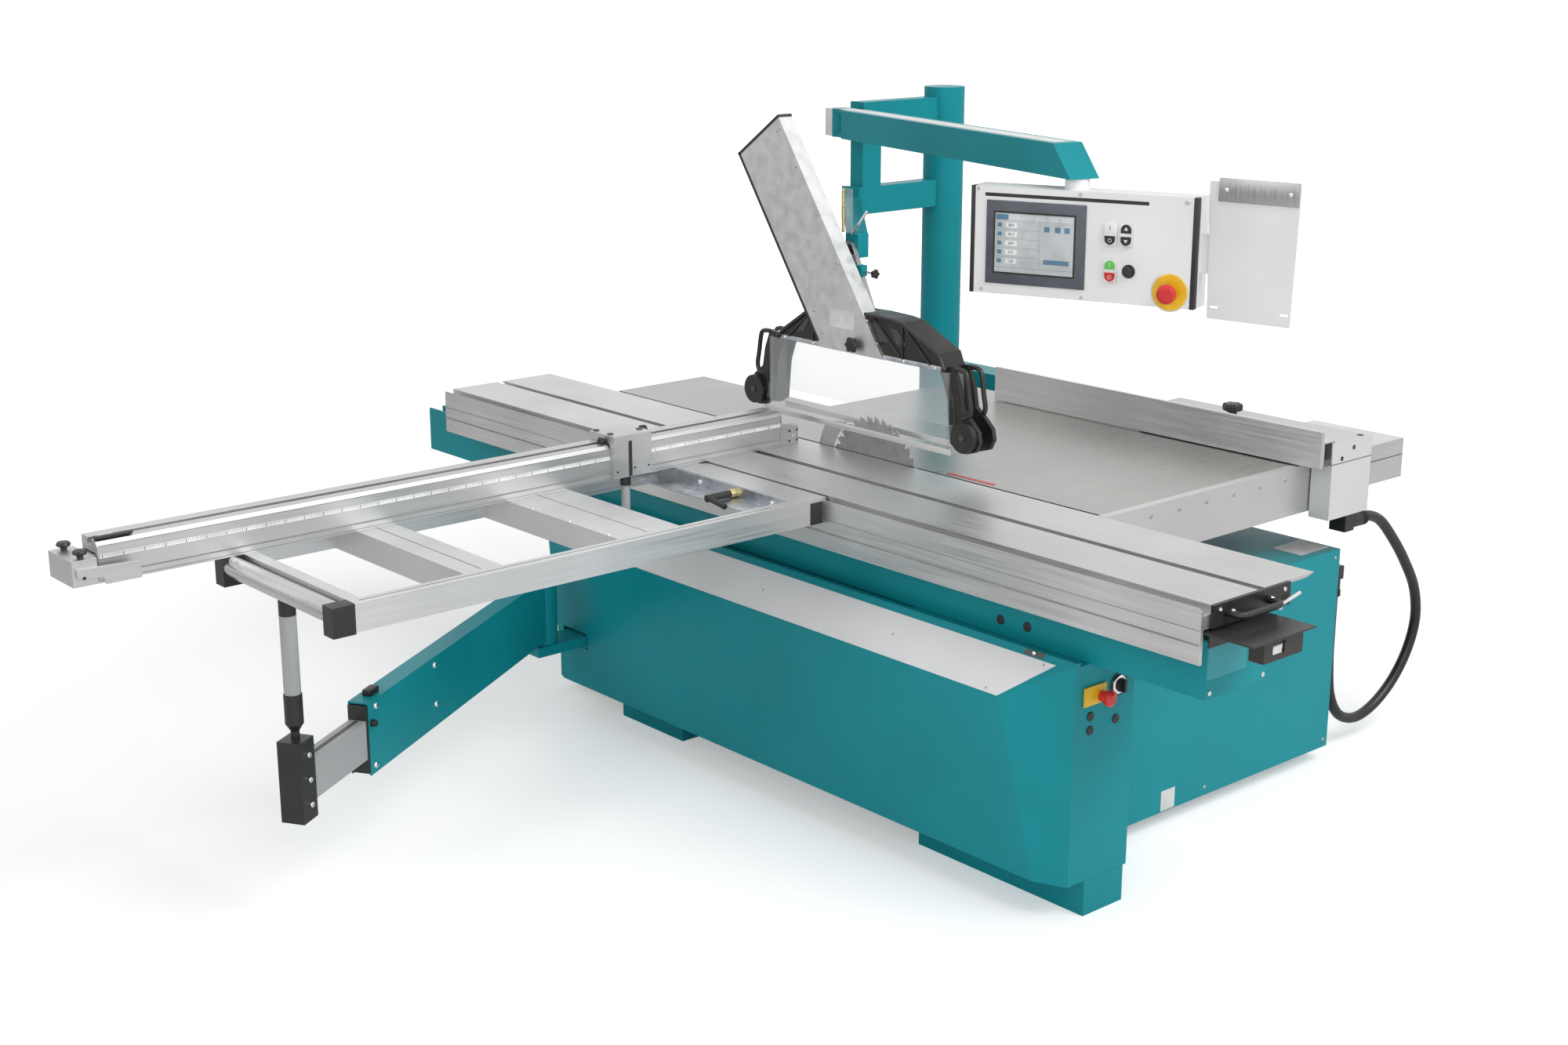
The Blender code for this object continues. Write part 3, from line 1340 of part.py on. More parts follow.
def outrigger(travel, place):
    right = FIN_OUTER - 0.0005
    rail_left = right - FRAME_RAIL
    inner_near = FRAME_NEAR + FRAME_BAR
    inner_far = FRAME_FAR - FRAME_BAR
    spans = ((FRAME_LEFT + 0.031, CROSS_1[0]), (CROSS_1[1], CROSS_2[0]), (CROSS_2[1], rail_left))
    frame_low = (FRAME_LEFT, FRAME_NEAR, -FRAME_DEPTH)
    frame = box("outrigger_frame", frame_low, (right, FRAME_FAR, 0), "aluminium")
    under = -FRAME_DEPTH - 0.010
    openings = [((a, inner_near, under), (b, inner_far, 0.010)) for a, b in spans]
    skin = -FRAME_WALL
    wall = FRAME_WALL
    hollows = [
        ((FRAME_LEFT + wall, FRAME_NEAR + wall, under), (rail_left - wall, inner_near - wall, skin)),
        ((FRAME_LEFT + wall, inner_far + wall, under), (rail_left - wall, FRAME_FAR - wall, skin)),
    ]
    for left, far_side in (CROSS_1, CROSS_2):
        hollows.append(((left + wall, inner_near + wall, under), (far_side - wall, inner_far - wall, skin)))
    hollows.append(((rail_left + wall, inner_near + wall, under), (right - wall, inner_far - wall, skin)))
    cut(frame, boxes("frame_openings", openings), boxes("frame_hollows", hollows))
    lip_high = -0.003
    lip_low = -FIN_TOP + GAP
    tooth_right = SLIDER_LEFT - 0.006
    lip = box(
        "frame_lip",
        (right - 0.010, FRAME_NEAR + 0.010, lip_low),
        (tooth_right, FRAME_FAR - 0.010, lip_high),
    )
    tooth = box(
        "frame_tooth",
        (tooth_right - 0.012, FRAME_NEAR + 0.010, -GROOVE_DEPTH + GAP),
        (tooth_right, FRAME_FAR - 0.010, lip_high),
    )
    join(frame, lip, tooth)
    plate_low = (CLAMP_LEFT, inner_near + GAP, -0.036)
    clamp = box("clamp_plate", plate_low, (rail_left - GAP, inner_far - GAP, -0.036 + CLAMP_SHEET), "galvanised")
    web_right = rail_left - GAP
    web_left = web_right - CLAMP_SHEET
    web = box("clamp_web", (web_left, inner_near + GAP, -0.036), (web_right, inner_far - GAP, -0.002))
    join(clamp, web)
    block_right = FRAME_LEFT - GAP
    axis_x = block_right - 0.030
    axis_z = -ROLLER_RADIUS
    roller_near = FRAME_NEAR + ROLLER_BLOCK + GAP
    roller_far = roller_near + ROLLER_LENGTH
    blocks = []
    for name, near in (("near", FRAME_NEAR), ("far", roller_far + GAP)):
        low = (axis_x - 0.026, near, -FRAME_DEPTH - 0.004)
        blocks.append(box(f"roller_bracket_{name}", low, (block_right, near + ROLLER_BLOCK, -0.001), "black"))
    hang(travel, place, frame, clamp, *blocks)
    roller_place = (axis_x, roller_near, axis_z)
    roller = rod("outrigger_roller", roller_place, (axis_x, roller_far, axis_z), ROLLER_RADIUS, "steel", 32)
    hang(pivot("roller_spin", roller_place, travel, place), roller_place, roller)
    lever_place = (web_left - GAP, 1.465, -0.020)
    hub_end = (web_left - 0.095, lever_place[1], lever_place[2])
    lever = rod("clamp_lever", lever_place, hub_end, 0.010, "black")
    tip = (web_left - 0.087, lever_place[1] - 0.066, lever_place[2] - 0.010)
    start = (web_left - 0.087, lever_place[1], lever_place[2])
    join(lever, rod("clamp_grip", start, tip, 0.0075, sides=12))
    hang(pivot("clamp_lever_turn", lever_place, travel, place), lever_place, lever)


def crosscut_fence(travel, place):
    near = FENCE_NEAR
    far = near + FENCE_DEPTH
    top = FENCE_HEIGHT
    slot_floor = top - 0.018
    lip = top - 0.006
    outline = [
        (near, FENCE_BOTTOM),
        (far, FENCE_BOTTOM),
        (far, top),
        (near + 0.046, top),
        (near + 0.046, lip),
        (near + 0.052, lip),
        (near + 0.052, slot_floor),
        (near + 0.020, slot_floor),
        (near + 0.020, lip),
        (near + 0.026, lip),
        (near + 0.026, top),
        (near + 0.008, top - 0.004),
        (near, top - 0.013),
    ]
    chamber = (near + 0.010, far - 0.010, 0.012, slot_floor - 0.012)
    hollow = [
        (chamber[0], chamber[2]),
        (chamber[1], chamber[2]),
        (chamber[1], chamber[3]),
        (chamber[0], chamber[3]),
    ]
    fence = prism("crosscut_fence", outline, "X", FENCE_LEFT, FENCE_RIGHT, "aluminium", [hollow])
    end = box("fence_end", (FENCE_RIGHT - 0.020, near + 0.001, FENCE_BOTTOM), (FENCE_END, near + 0.030, 0.052))
    pin_y = near + 0.016
    collar = rod("fence_pin", (PIVOT_X, pin_y, 0.003), (PIVOT_X, pin_y, -0.024), 0.0140)
    tail = rod("fence_pin_tail", (PIVOT_X, pin_y, -0.022), (PIVOT_X, pin_y, -0.125), 0.0115)
    join(fence, end, collar, tail)
    fence_place = (PIVOT_X, pin_y, 0)
    swing = pivot("fence_swivel", fence_place, travel, place)
    hang(swing, fence_place, fence)

    left = STOP_X - STOP_WIDTH / 2
    right = STOP_X + STOP_WIDTH / 2
    saddle_low = FENCE_HEIGHT + SLIDING
    stop = box("flip_stop", (left, near + 0.004, saddle_low), (right, far + 0.010, STOP_HIGH), "light_grey")
    key = box("stop_key", (left, near + 0.028, saddle_low - 0.010), (right, near + 0.044, saddle_low + 0.004))
    join(stop, key)
    stop_place = (left, near, saddle_low)
    slide = pivot("flip_stop_slide", stop_place, swing, fence_place)
    hang(slide, stop_place, stop)
    blade_far = near - GAP
    blade_near = blade_far - STOP_SHELL
    blade = box("flip_stop_blade", (left, blade_near, 0.006), (right, blade_far, saddle_low + 0.001), "light_grey")
    ear = box(
        "blade_ear",
        (left, blade_near, saddle_low - 0.004),
        (right, near + 0.004 - GAP, STOP_HIGH),
    )
    join(blade, ear)
    hinge_place = (left, blade_near, STOP_HIGH)
    hang(pivot("flip_stop_turn", hinge_place, slide, stop_place), hinge_place, blade)

    block_right = FENCE_LEFT - END_GAP
    block = box(
        "end_stop",
        (STOP_LEFT_END, near - 0.030, 0.010),
        (block_right, far + 0.015, 0.070),
        "light_grey",
    )
    bar = box(
        "extension_bar",
        (block_right - 0.010, chamber[0] + 0.003, chamber[2] + SLIDING),
        (FENCE_LEFT + EXTENSION, chamber[1] - 0.003, chamber[3] - 0.004),
    )
    join(block, bar)
    block_place = (block_right, near, 0.010)
    reach = pivot("end_stop_slide", block_place, swing, fence_place)
    hang(reach, block_place, block)
    flap_far = near - 0.030 - GAP
    flap_outline = [
        (STOP_LEFT_END + 0.008, 0.032),
        (block_right + 0.010, 0.024),
        (block_right + 0.016, 0.007),
        (block_right + 0.098, 0.007),
        (block_right + 0.098, 0.046),
        (STOP_LEFT_END + 0.008, 0.052),
    ]
    flap = prism("end_stop_flap", flap_outline, "Y", flap_far - 0.006, flap_far, "light_grey")
    flap_place = (STOP_LEFT_END + 0.016, flap_far, 0.042)
    hang(pivot("end_stop_flap_turn", flap_place, reach, block_place), flap_place, flap)


# Swinging support arm


def swing_arm():
    """The arm and its telescopic end, in the arm's own frame: its hinge at the origin, its length along x."""
    reach = math.hypot(POST_X - SWING_X, POST_Y - SWING_Y)
    heading = math.degrees(math.atan2(POST_Y - SWING_Y, POST_X - SWING_X))
    holder = pivot("swing_arm_turn", (SWING_X, SWING_Y, 0), turn=heading)
    half = SWING_WIDTH / 2
    end = reach - SWING_END
    arm = box("swing_arm", (0.010, -half, SWING_BOTTOM), (end, half, SWING_TOP), "teal")
    inner = half - SWING_WALL
    channel = box(
        "arm_channel",
        (BARREL_SWING + 0.010, -inner, SWING_BOTTOM - 0.020),
        (end + 0.010, inner, SWING_TOP - SWING_WALL),
    )
    barrel = rod("swing_barrel", (0, 0, SWING_BOTTOM - 0.015), (0, 0, SWING_TOP + 0.015), BARREL_SWING, sides=32)
    join(arm, barrel)
    cut(arm, channel)
    hang(holder, (0, 0, 0), arm)
    place = (reach, 0, 0)
    slide = pivot("arm_telescope", place, holder)
    beam_half = inner - SLIDING
    beam_end = reach - 0.030
    beam = box(
        "telescopic_arm",
        (INNER_START, -beam_half, INNER_BOTTOM),
        (beam_end, beam_half, INNER_TOP),
        "galvanised",
    )
    beam_hollow = box(
        "beam_hollow_under",
        (INNER_START + 0.020, 0.004 - beam_half, INNER_BOTTOM - 0.010),
        (beam_end - 0.020, beam_half - 0.004, INNER_TOP - 0.004),
    )
    cut(beam, beam_hollow)
    radius = POST_RADIUS
    low = POST_BLOCK_TOP - 0.005
    profile = [
        (0, POST_TOP),
        (1.05 * radius, POST_TOP),
        (1.05 * radius, POST_TOP - 0.036),
        (radius, POST_TOP - 0.036),
        (radius, POST_TOP - 0.228),
        (1.15 * radius, POST_TOP - 0.228),
        (1.15 * radius, POST_TOP - 0.300),
        (0.55 * radius, POST_TOP - 0.318),
        (0.55 * radius, low),
        (0, low),
    ]
    post = turned("support_post", profile, "dark", "Z", place)
    block = box(
        "post_block",
        (beam_end + GAP, -0.030, INNER_BOTTOM - 0.038),
        (reach + 0.035, 0.030, POST_BLOCK_TOP),
    )
    join(post, block)
    hang(slide, place, beam, post)


# Saw unit


def saw_unit():
    place = (BLADE_X, BAY_NEAR, 0)
    tilt = pivot("saw_tilt", place)
    near = BAY_NEAR + GAP
    far = BAY_FAR - GAP
    plate_outline = [(0.100, -0.100), (0.455, -0.100), (0.455, -0.420), (0.160, -0.420)]
    trunnion = prism("saw_trunnion", plate_outline, "Y", near, near + TRUNNION_PLATE, "dark")
    far_plate = prism("trunnion_far", plate_outline, "Y", far - TRUNNION_PLATE, far)
    tie_low = (MOTOR_END + 0.005, near + 0.005, -0.410)
    tie = box("trunnion_tie", tie_low, (MOTOR_END + 0.005 + TRUNNION_TIE, far - 0.005, -0.250))
    join(trunnion, far_plate, tie)
    axis = (MOTOR_Y, MOTOR_Z)
    motor_place = (MOTOR_START, *axis)
    end = MOTOR_END + 0.005 - GAP - MOTOR_START
    shaft_end = PULLEY_START - MOTOR_START
    profile = [
        (0, LIFT_ARM[0] - MOTOR_START),
        (SHAFT_RADIUS, LIFT_ARM[0] - MOTOR_START),
        (SHAFT_RADIUS, shaft_end),
        (PULLEY_RADIUS, shaft_end),
        (PULLEY_RADIUS, PULLEY_END - MOTOR_START),
        (SHAFT_RADIUS, PULLEY_END - MOTOR_START),
        (SHAFT_RADIUS, 0),
        (MOTOR_RADIUS, 0),
        (MOTOR_RADIUS, end),
        (0, end),
    ]
    motor = turned("saw_motor", profile[::-1], "dark", "X", motor_place)
    hang(tilt, place, trunnion, motor)

    lift_place = (LIFT_ARM[0], *axis)
    lift = pivot("saw_lift", lift_place, tilt, place)
    blade_axis = (BLADE_Y, BLADE_Z)
    arm = prism("lift_arm", capsule(axis, blade_axis, LIFT_ARM_RADIUS), "X", *LIFT_ARM, "dark")
    flange_end = 0.014
    housing = rod(
        "arbor_housing", (flange_end + 0.006, *blade_axis), (LIFT_ARM[0] + 0.004, *blade_axis), 0.035
    )
    knife_right = BLADE_X + KNIFE_THICK / 2
    holder_low = (knife_right + GAP, BLADE_Y + BLADE_RADIUS + 0.003, -0.200)
    holder_high = (LIFT_ARM[0] + 0.014, BLADE_Y + BLADE_RADIUS + 0.048, -0.130)
    knife_holder = box("knife_holder", holder_low, holder_high)
    join(arm, housing, knife_holder)
    bore = SHAFT_RADIUS + RUNNING
    holes = [
        rod("arbor_bore", (0.010, *blade_axis), (LIFT_ARM[1] + 0.010, *blade_axis), bore),
        rod("motor_bore", (LIFT_ARM[0] - 0.010, *axis), (LIFT_ARM[1] + 0.010, *axis), bore),
    ]
    cut(arm, *holes)
    inner_radius = BLADE_RADIUS + 0.005
    outer_radius = inner_radius + 0.055
    knife_outline = arc(blade_axis, inner_radius, -38, 52, 9) + arc(blade_axis, outer_radius, 34, -38, 8)
    knife_left = BLADE_X - KNIFE_THICK / 2
    knife = prism("riving_knife", knife_outline, "X", knife_left, knife_right, "steel")
    belt_outer = capsule(axis, blade_axis, PULLEY_RADIUS + 0.0035, 12)
    belt_inner = capsule(axis, blade_axis, PULLEY_RADIUS + 0.0005, 12)
    belt = prism("drive_belt", belt_outer, "X", PULLEY_START + 0.001, PULLEY_END - 0.001, "rubber", [belt_inner])
    hang(lift, lift_place, arm, knife, belt)

    blade_place = (BLADE_X, *blade_axis)
    half = BLADE_THICK / 2
    profile = [
        (0, -0.006),
        (0.012, -0.006),
        (0.012, -half),
        (BLADE_RADIUS, -half),
        (BLADE_RADIUS, half),
        (0.045, half),
        (0.045, flange_end - BLADE_X),
        (SHAFT_RADIUS, flange_end - BLADE_X),
        (SHAFT_RADIUS, PULLEY_START - BLADE_X),
        (PULLEY_RADIUS, PULLEY_START - BLADE_X),
        (PULLEY_RADIUS, PULLEY_END - BLADE_X),
        (0, PULLEY_END - BLADE_X),
    ]
    blade = turned("saw_blade", profile[::-1], "steel", "X", blade_place, 48)
    hang(pivot("blade_spin", blade_place, lift, lift_place), blade_place, blade)


base_body()
base_controls()
front_panel()
side_cabinet()
slide_rail()
roller_carriage()
TRAVEL_PLACE = (0, 0, 0)
TRAVEL = pivot("table_travel", TRAVEL_PLACE)
sliding_table(TRAVEL, TRAVEL_PLACE)
saw_table()
guide_rail()
support_beam()
column()
guard_boom()
SWIVEL = panel_arm()
control_panel(SWIVEL)
document_holder(SWIVEL)
saw_guard()
rip_fence()
hose()
outrigger(TRAVEL, TRAVEL_PLACE)
crosscut_fence(TRAVEL, TRAVEL_PLACE)
swing_arm()
saw_unit()
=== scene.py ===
import json
import math

import bmesh
import bpy
from mathutils import Matrix, Vector

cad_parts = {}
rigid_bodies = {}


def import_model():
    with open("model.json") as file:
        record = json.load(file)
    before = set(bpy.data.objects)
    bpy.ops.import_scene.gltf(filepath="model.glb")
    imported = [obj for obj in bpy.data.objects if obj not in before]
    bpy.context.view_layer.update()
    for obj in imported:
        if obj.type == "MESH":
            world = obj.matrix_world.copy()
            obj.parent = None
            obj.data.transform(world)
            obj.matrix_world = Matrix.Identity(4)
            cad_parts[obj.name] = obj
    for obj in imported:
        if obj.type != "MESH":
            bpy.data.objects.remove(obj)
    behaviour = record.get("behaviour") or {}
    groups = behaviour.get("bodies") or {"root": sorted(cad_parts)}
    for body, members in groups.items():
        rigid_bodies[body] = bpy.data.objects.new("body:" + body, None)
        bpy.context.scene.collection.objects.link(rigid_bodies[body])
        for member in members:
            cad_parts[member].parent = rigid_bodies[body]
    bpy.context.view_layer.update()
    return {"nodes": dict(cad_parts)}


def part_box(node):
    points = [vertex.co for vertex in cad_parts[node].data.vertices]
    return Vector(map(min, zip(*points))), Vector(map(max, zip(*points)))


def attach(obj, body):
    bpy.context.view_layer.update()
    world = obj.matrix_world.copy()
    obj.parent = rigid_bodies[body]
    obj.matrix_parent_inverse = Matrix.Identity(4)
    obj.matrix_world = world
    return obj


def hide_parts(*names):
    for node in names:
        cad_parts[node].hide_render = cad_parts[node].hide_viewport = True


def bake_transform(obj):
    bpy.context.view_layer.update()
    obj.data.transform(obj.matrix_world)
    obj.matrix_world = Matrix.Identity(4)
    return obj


for leftOver in list(bpy.data.objects):
    bpy.data.objects.remove(leftOver)
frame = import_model()

# The machine's own frame: x across the feed, y along it, z up from the table top
tableLow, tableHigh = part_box("sliding_table")
machineOrigin = Vector((tableHigh.x, tableLow.y, tableHigh.z))
machineFrame = Matrix.Translation(machineOrigin)
floorHeight = -machineOrigin.z

panelPlace = {"x": 0.268, "y": 0.980, "turn": -69.7}
panelFrame = (
    machineFrame
    @ Matrix.Translation((panelPlace["x"], panelPlace["y"], 0))
    @ Matrix.Rotation(math.radians(panelPlace["turn"]), 4, "Z")
)
holderPlace = {"x": 0.3603, "y": -0.020, "turn": -11.7}
holderFrame = (
    panelFrame
    @ Matrix.Translation((holderPlace["x"], holderPlace["y"], 0))
    @ Matrix.Rotation(math.radians(holderPlace["turn"]), 4, "Z")
)
armPlace = {"x": -0.530, "y": 2.310, "postX": -1.745, "postY": 1.555}
armHeading = math.atan2(armPlace["postY"] - armPlace["y"], armPlace["postX"] - armPlace["x"])
armFrame = (
    machineFrame
    @ Matrix.Translation((armPlace["x"], armPlace["y"], 0))
    @ Matrix.Rotation(armHeading, 4, "Z")
)
boomPlace = {"x": 0.613, "y": 2.250}
boomHeading = math.atan2(panelPlace["y"] - boomPlace["y"], panelPlace["x"] - boomPlace["x"])
boomFrame = (
    machineFrame
    @ Matrix.Translation((boomPlace["x"], boomPlace["y"], 0))
    @ Matrix.Rotation(boomHeading, 4, "Z")
)
print("frame loaded")


# Finishes


def addNode(tree, kind, values=None, **settings):
    made = tree.nodes.new(kind)
    for key, value in settings.items():
        setattr(made, key, value)
    for key, value in (values or {}).items():
        if isinstance(value, bpy.types.NodeSocket):
            tree.links.new(value, made.inputs[key])
        else:
            made.inputs[key].default_value = value
    return made


def newFinish(name, roughness, metallic=0.0, coat=0.0):
    material = bpy.data.materials.new(name)
    material.use_nodes = True
    tree = material.node_tree
    shader = tree.nodes["Principled BSDF"]
    shader.inputs["Roughness"].default_value = roughness
    shader.inputs["Metallic"].default_value = metallic
    shader.inputs["Coat Weight"].default_value = coat
    shader.inputs["Coat Roughness"].default_value = 0.12
    return material, tree, shader


def shadeBetween(tree, factor, dark, light):
    mix = addNode(tree, "ShaderNodeMix", data_type="RGBA")
    tree.links.new(factor, mix.inputs[0])
    mix.inputs[6].default_value = (*dark, 1)
    mix.inputs[7].default_value = (*light, 1)
    return mix.outputs[2]


def scaled(colour, share):
    return tuple(min(1.0, c * share) for c in colour)


def mappedNoise(tree, stretch, scale, detail=3.0):
    place = addNode(tree, "ShaderNodeTexCoord")
    mapping = addNode(tree, "ShaderNodeMapping", {"Vector": place.outputs["Object"], "Scale": stretch})
    noise = addNode(
        tree, "ShaderNodeTexNoise", {"Vector": mapping.outputs[0], "Scale": scale, "Detail": detail}
    )
    return noise.outputs["Fac"]


def spread(tree, value, low, high, fromLow=0.35, fromHigh=0.65):
    found = addNode(
        tree,
        "ShaderNodeMapRange",
        {"Value": value, "From Min": fromLow, "From Max": fromHigh, "To Min": low, "To Max": high},
    )
    return found.outputs[0]


def roundedBump(tree, shader, height, strength, distance, edge=0.0012):
    soft = addNode(tree, "ShaderNodeBevel", {"Radius": edge}, samples=4)
    bump = addNode(
        tree,
        "ShaderNodeBump",
        {"Height": height, "Strength": strength, "Distance": distance, "Normal": soft.outputs[0]},
    )
    tree.links.new(bump.outputs[0], shader.inputs["Normal"])


def paintFinish(name, colour, roughness=0.34, peel=0.05, gloss=0.2):
    material, tree, shader = newFinish(name, roughness)
    shader.inputs["Specular IOR Level"].default_value = gloss
    broad = mappedNoise(tree, (1, 1, 1), 2.2)
    tree.links.new(
        shadeBetween(tree, spread(tree, broad, 0, 1), scaled(colour, 0.94), scaled(colour, 1.06)),
        shader.inputs["Base Color"],
    )
    fine = mappedNoise(tree, (1, 1, 1), 420, 2)
    tree.links.new(spread(tree, broad, roughness - 0.04, roughness + 0.05), shader.inputs["Roughness"])
    roundedBump(tree, shader, fine, peel, 0.0004)
    return material


def grainedMetal(name, colour, roughness, stretch, contrast=0.10, bump=0.06, metallic=1.0):
    material, tree, shader = newFinish(name, roughness, metallic)
    grain = mappedNoise(tree, stretch, 1.0, 4)
    cloud = mappedNoise(tree, (1.3, 1.3, 1.3), 2.0, 2)
    blend = addNode(tree, "ShaderNodeMath", {0: grain, 1: cloud}, operation="ADD")
    tree.links.new(
        shadeBetween(
            tree,
            spread(tree, blend.outputs[0], 0, 1, 0.75, 1.25),
            scaled(colour, 1 - contrast),
            scaled(colour, 1 + contrast),
        ),
        shader.inputs["Base Color"],
    )
    tree.links.new(spread(tree, grain, roughness - 0.07, roughness + 0.07), shader.inputs["Roughness"])
    roundedBump(tree, shader, grain, bump, 0.0006, 0.0010)
    return material


def spangledMetal(name, colour, roughness):
    material, tree, shader = newFinish(name, roughness, 1.0)
    place = addNode(tree, "ShaderNodeTexCoord")
    warp = addNode(tree, "ShaderNodeTexNoise", {"Vector": place.outputs["Object"], "Scale": 30.0})
    bent = addNode(
        tree,
        "ShaderNodeVectorMath",
        {0: warp.outputs["Color"], 1: (0.02, 0.02, 0.02)},
        operation="MULTIPLY",
    )
    moved = addNode(
        tree, "ShaderNodeVectorMath", {0: place.outputs["Object"], 1: bent.outputs[0]}, operation="ADD"
    )
    cells = addNode(tree, "ShaderNodeTexVoronoi", {"Vector": moved.outputs[0], "Scale": 55.0})
    grey = addNode(tree, "ShaderNodeRGBToBW", {"Color": cells.outputs["Color"]})
    tree.links.new(
        shadeBetween(tree, grey.outputs[0], scaled(colour, 0.82), scaled(colour, 1.16)),
        shader.inputs["Base Color"],
    )
    tree.links.new(
        spread(tree, grey.outputs[0], roughness - 0.08, roughness + 0.10, 0, 1), shader.inputs["Roughness"]
    )
    roundedBump(tree, shader, grey.outputs[0], 0.05, 0.0004)
    return material


def plasticFinish(name, colour, roughness=0.42, texture=0.12, scale=900, coat=0.0):
    material, tree, shader = newFinish(name, roughness, 0.0, coat)
    broad = mappedNoise(tree, (1, 1, 1), 14)
    tree.links.new(
        shadeBetween(tree, spread(tree, broad, 0, 1), scaled(colour, 0.88), scaled(colour, 1.14)),
        shader.inputs["Base Color"],
    )
    fine = mappedNoise(tree, (1, 1, 1), scale, 2)
    tree.links.new(spread(tree, broad, roughness - 0.05, roughness + 0.06), shader.inputs["Roughness"])
    roundedBump(tree, shader, fine, texture, 0.0002, 0.0008)
    return material


def clearFinish(name, colour):
    material, tree, shader = newFinish(name, 0.06, 0.0)
    broad = mappedNoise(tree, (1, 1, 1), 6)
    tree.links.new(
        shadeBetween(tree, spread(tree, broad, 0, 1), scaled(colour, 0.97), colour),
        shader.inputs["Base Color"],
    )
    facing = addNode(tree, "ShaderNodeLayerWeight", {"Blend": 0.35})
    seen = addNode(
        tree, "ShaderNodeMapRange", {"Value": facing.outputs["Facing"], "To Min": 0.05, "To Max": 0.42}
    )
    tree.links.new(seen.outputs[0], shader.inputs["Alpha"])
    return material


tealColour = (0.006, 0.268, 0.310)
finishes = {
    "teal": paintFinish("tealPaint", tealColour),
    "pale": paintFinish("paleGreyPaint", (0.600, 0.605, 0.600), 0.42, 0.08, 0.3),
    "panelPaint": paintFinish("panelPaint", (0.850, 0.850, 0.855), 0.40, 0.06, 0.3),
    "silver": paintFinish("beamGrey", (0.400, 0.410, 0.415), 0.36, 0.04, 0.3),
    "strip": paintFinish("silverStrip", (0.800, 0.805, 0.810), 0.38, 0.04, 0.3),
    "alongY": grainedMetal("aluminiumAlongY", (0.620, 0.618, 0.610), 0.40, (260, 3, 260)),
    "alongX": grainedMetal("aluminiumAlongX", (0.660, 0.665, 0.670), 0.38, (3, 260, 260)),
    "fence": grainedMetal("fenceAluminium", (0.570, 0.572, 0.575), 0.42, (4, 300, 300), 0.06),
    "ground": grainedMetal("groundIron", (0.420, 0.415, 0.402), 0.32, (4, 300, 60), 0.07),
    "zinc": spangledMetal("zincSheet", (0.520, 0.550, 0.580), 0.36),
    "ductSheet": grainedMetal("ductSheet", (0.620, 0.620, 0.620), 0.46, (30, 30, 30), 0.05, 0.03),
    "steel": grainedMetal("turnedSteel", (0.430, 0.430, 0.430), 0.32, (200, 200, 12)),
    "roller": grainedMetal("rollerSteel", (0.560, 0.560, 0.560), 0.25, (200, 5, 200)),
    "blade": grainedMetal("bladeSteel", (0.290, 0.288, 0.282), 0.34, (180, 30, 30), 0.10),
    # grey for thin strips along grooves and ledges: painted shade, not a colour of the metal
    "grooveShade": plasticFinish("grooveLine", (0.270, 0.268, 0.262), 0.50, 0.02),
    "carbide": grainedMetal("carbideTip", (0.500, 0.500, 0.490), 0.28, (200, 200, 200)),
    "chrome": grainedMetal("chrome", (0.780, 0.780, 0.790), 0.12, (40, 40, 40), 0.03, 0.01),
    "brass": grainedMetal("yellowZinc", (0.720, 0.610, 0.280), 0.30, (4, 200, 200)),
    "black": plasticFinish("blackPlastic", (0.016, 0.015, 0.014)),
    "guardBlack": plasticFinish("guardBlack", (0.014, 0.013, 0.011), 0.34, 0.05),
    "blackSteel": plasticFinish("blackSheet", (0.015, 0.014, 0.012), 0.40, 0.10),
    "dark": plasticFinish("darkParts", (0.050, 0.052, 0.055), 0.45),
    "rubber": plasticFinish("hoseRubber", (0.010, 0.010, 0.010), 0.38, 0.20, 400),
    "red": plasticFinish("redPlastic", (0.620, 0.022, 0.020), 0.30, 0.03, 500, 0.3),
    "redStrip": plasticFinish("redStrip", (0.560, 0.045, 0.030), 0.35, 0.05),
    "yellow": plasticFinish("yellowPlastic", (0.830, 0.490, 0.008), 0.34, 0.03, 500, 0.2),
    "green": plasticFinish("greenCap", (0.120, 0.560, 0.100), 0.32, 0.03, 500, 0.2),
    "white": plasticFinish("whiteCap", (0.780, 0.780, 0.775), 0.30, 0.03, 500, 0.2),
    "print": plasticFinish("greyPrint", (0.330, 0.330, 0.330), 0.55, 0.02),
    # black for print, and also for discs and slabs laid in holes and slots as painted shade
    "printBlack": plasticFinish("blackPrint", (0.020, 0.018, 0.016), 0.45, 0.02),
    "sticker": plasticFinish("blankSticker", (0.700, 0.700, 0.690), 0.40, 0.02),
    "tape": plasticFinish("scaleTape", (0.860, 0.860, 0.840), 0.40, 0.02),
    "bezel": plasticFinish("bezelGrey", (0.085, 0.092, 0.112), 0.38, 0.06),
    "glass": plasticFinish("screenGrey", (0.520, 0.555, 0.570), 0.16, 0.01, 300, 0.4),
    "screenBlue": plasticFinish("screenBlue", (0.110, 0.225, 0.340), 0.20, 0.01, 300, 0.4),
    "screenSoft": plasticFinish("screenSoft", (0.640, 0.670, 0.690), 0.20, 0.01, 300, 0.4),
    "clear": clearFinish("clearSheet", (0.880, 0.920, 0.930)),
    "shade": plasticFinish("shadowLine", (0.100, 0.098, 0.092), 0.60, 0.02),
}


def trayFinish(name, dark, litTeal, level):
    # dark sheet, with the flap over the rail end painted teal below a height; that teal is lighter than the
    # teal paint: painted light on the lit rail end
    material, tree, shader = newFinish(name, 0.40)
    place = addNode(tree, "ShaderNodeTexCoord")
    split = addNode(tree, "ShaderNodeSeparateXYZ", {"Vector": place.outputs["Object"]})
    below = addNode(tree, "ShaderNodeMath", {0: split.outputs["Z"], 1: level}, operation="LESS_THAN")
    tree.links.new(shadeBetween(tree, below.outputs[0], dark, litTeal), shader.inputs["Base Color"])
    roundedBump(tree, shader, mappedNoise(tree, (1, 1, 1), 700, 2), 0.06, 0.0002)
    return material


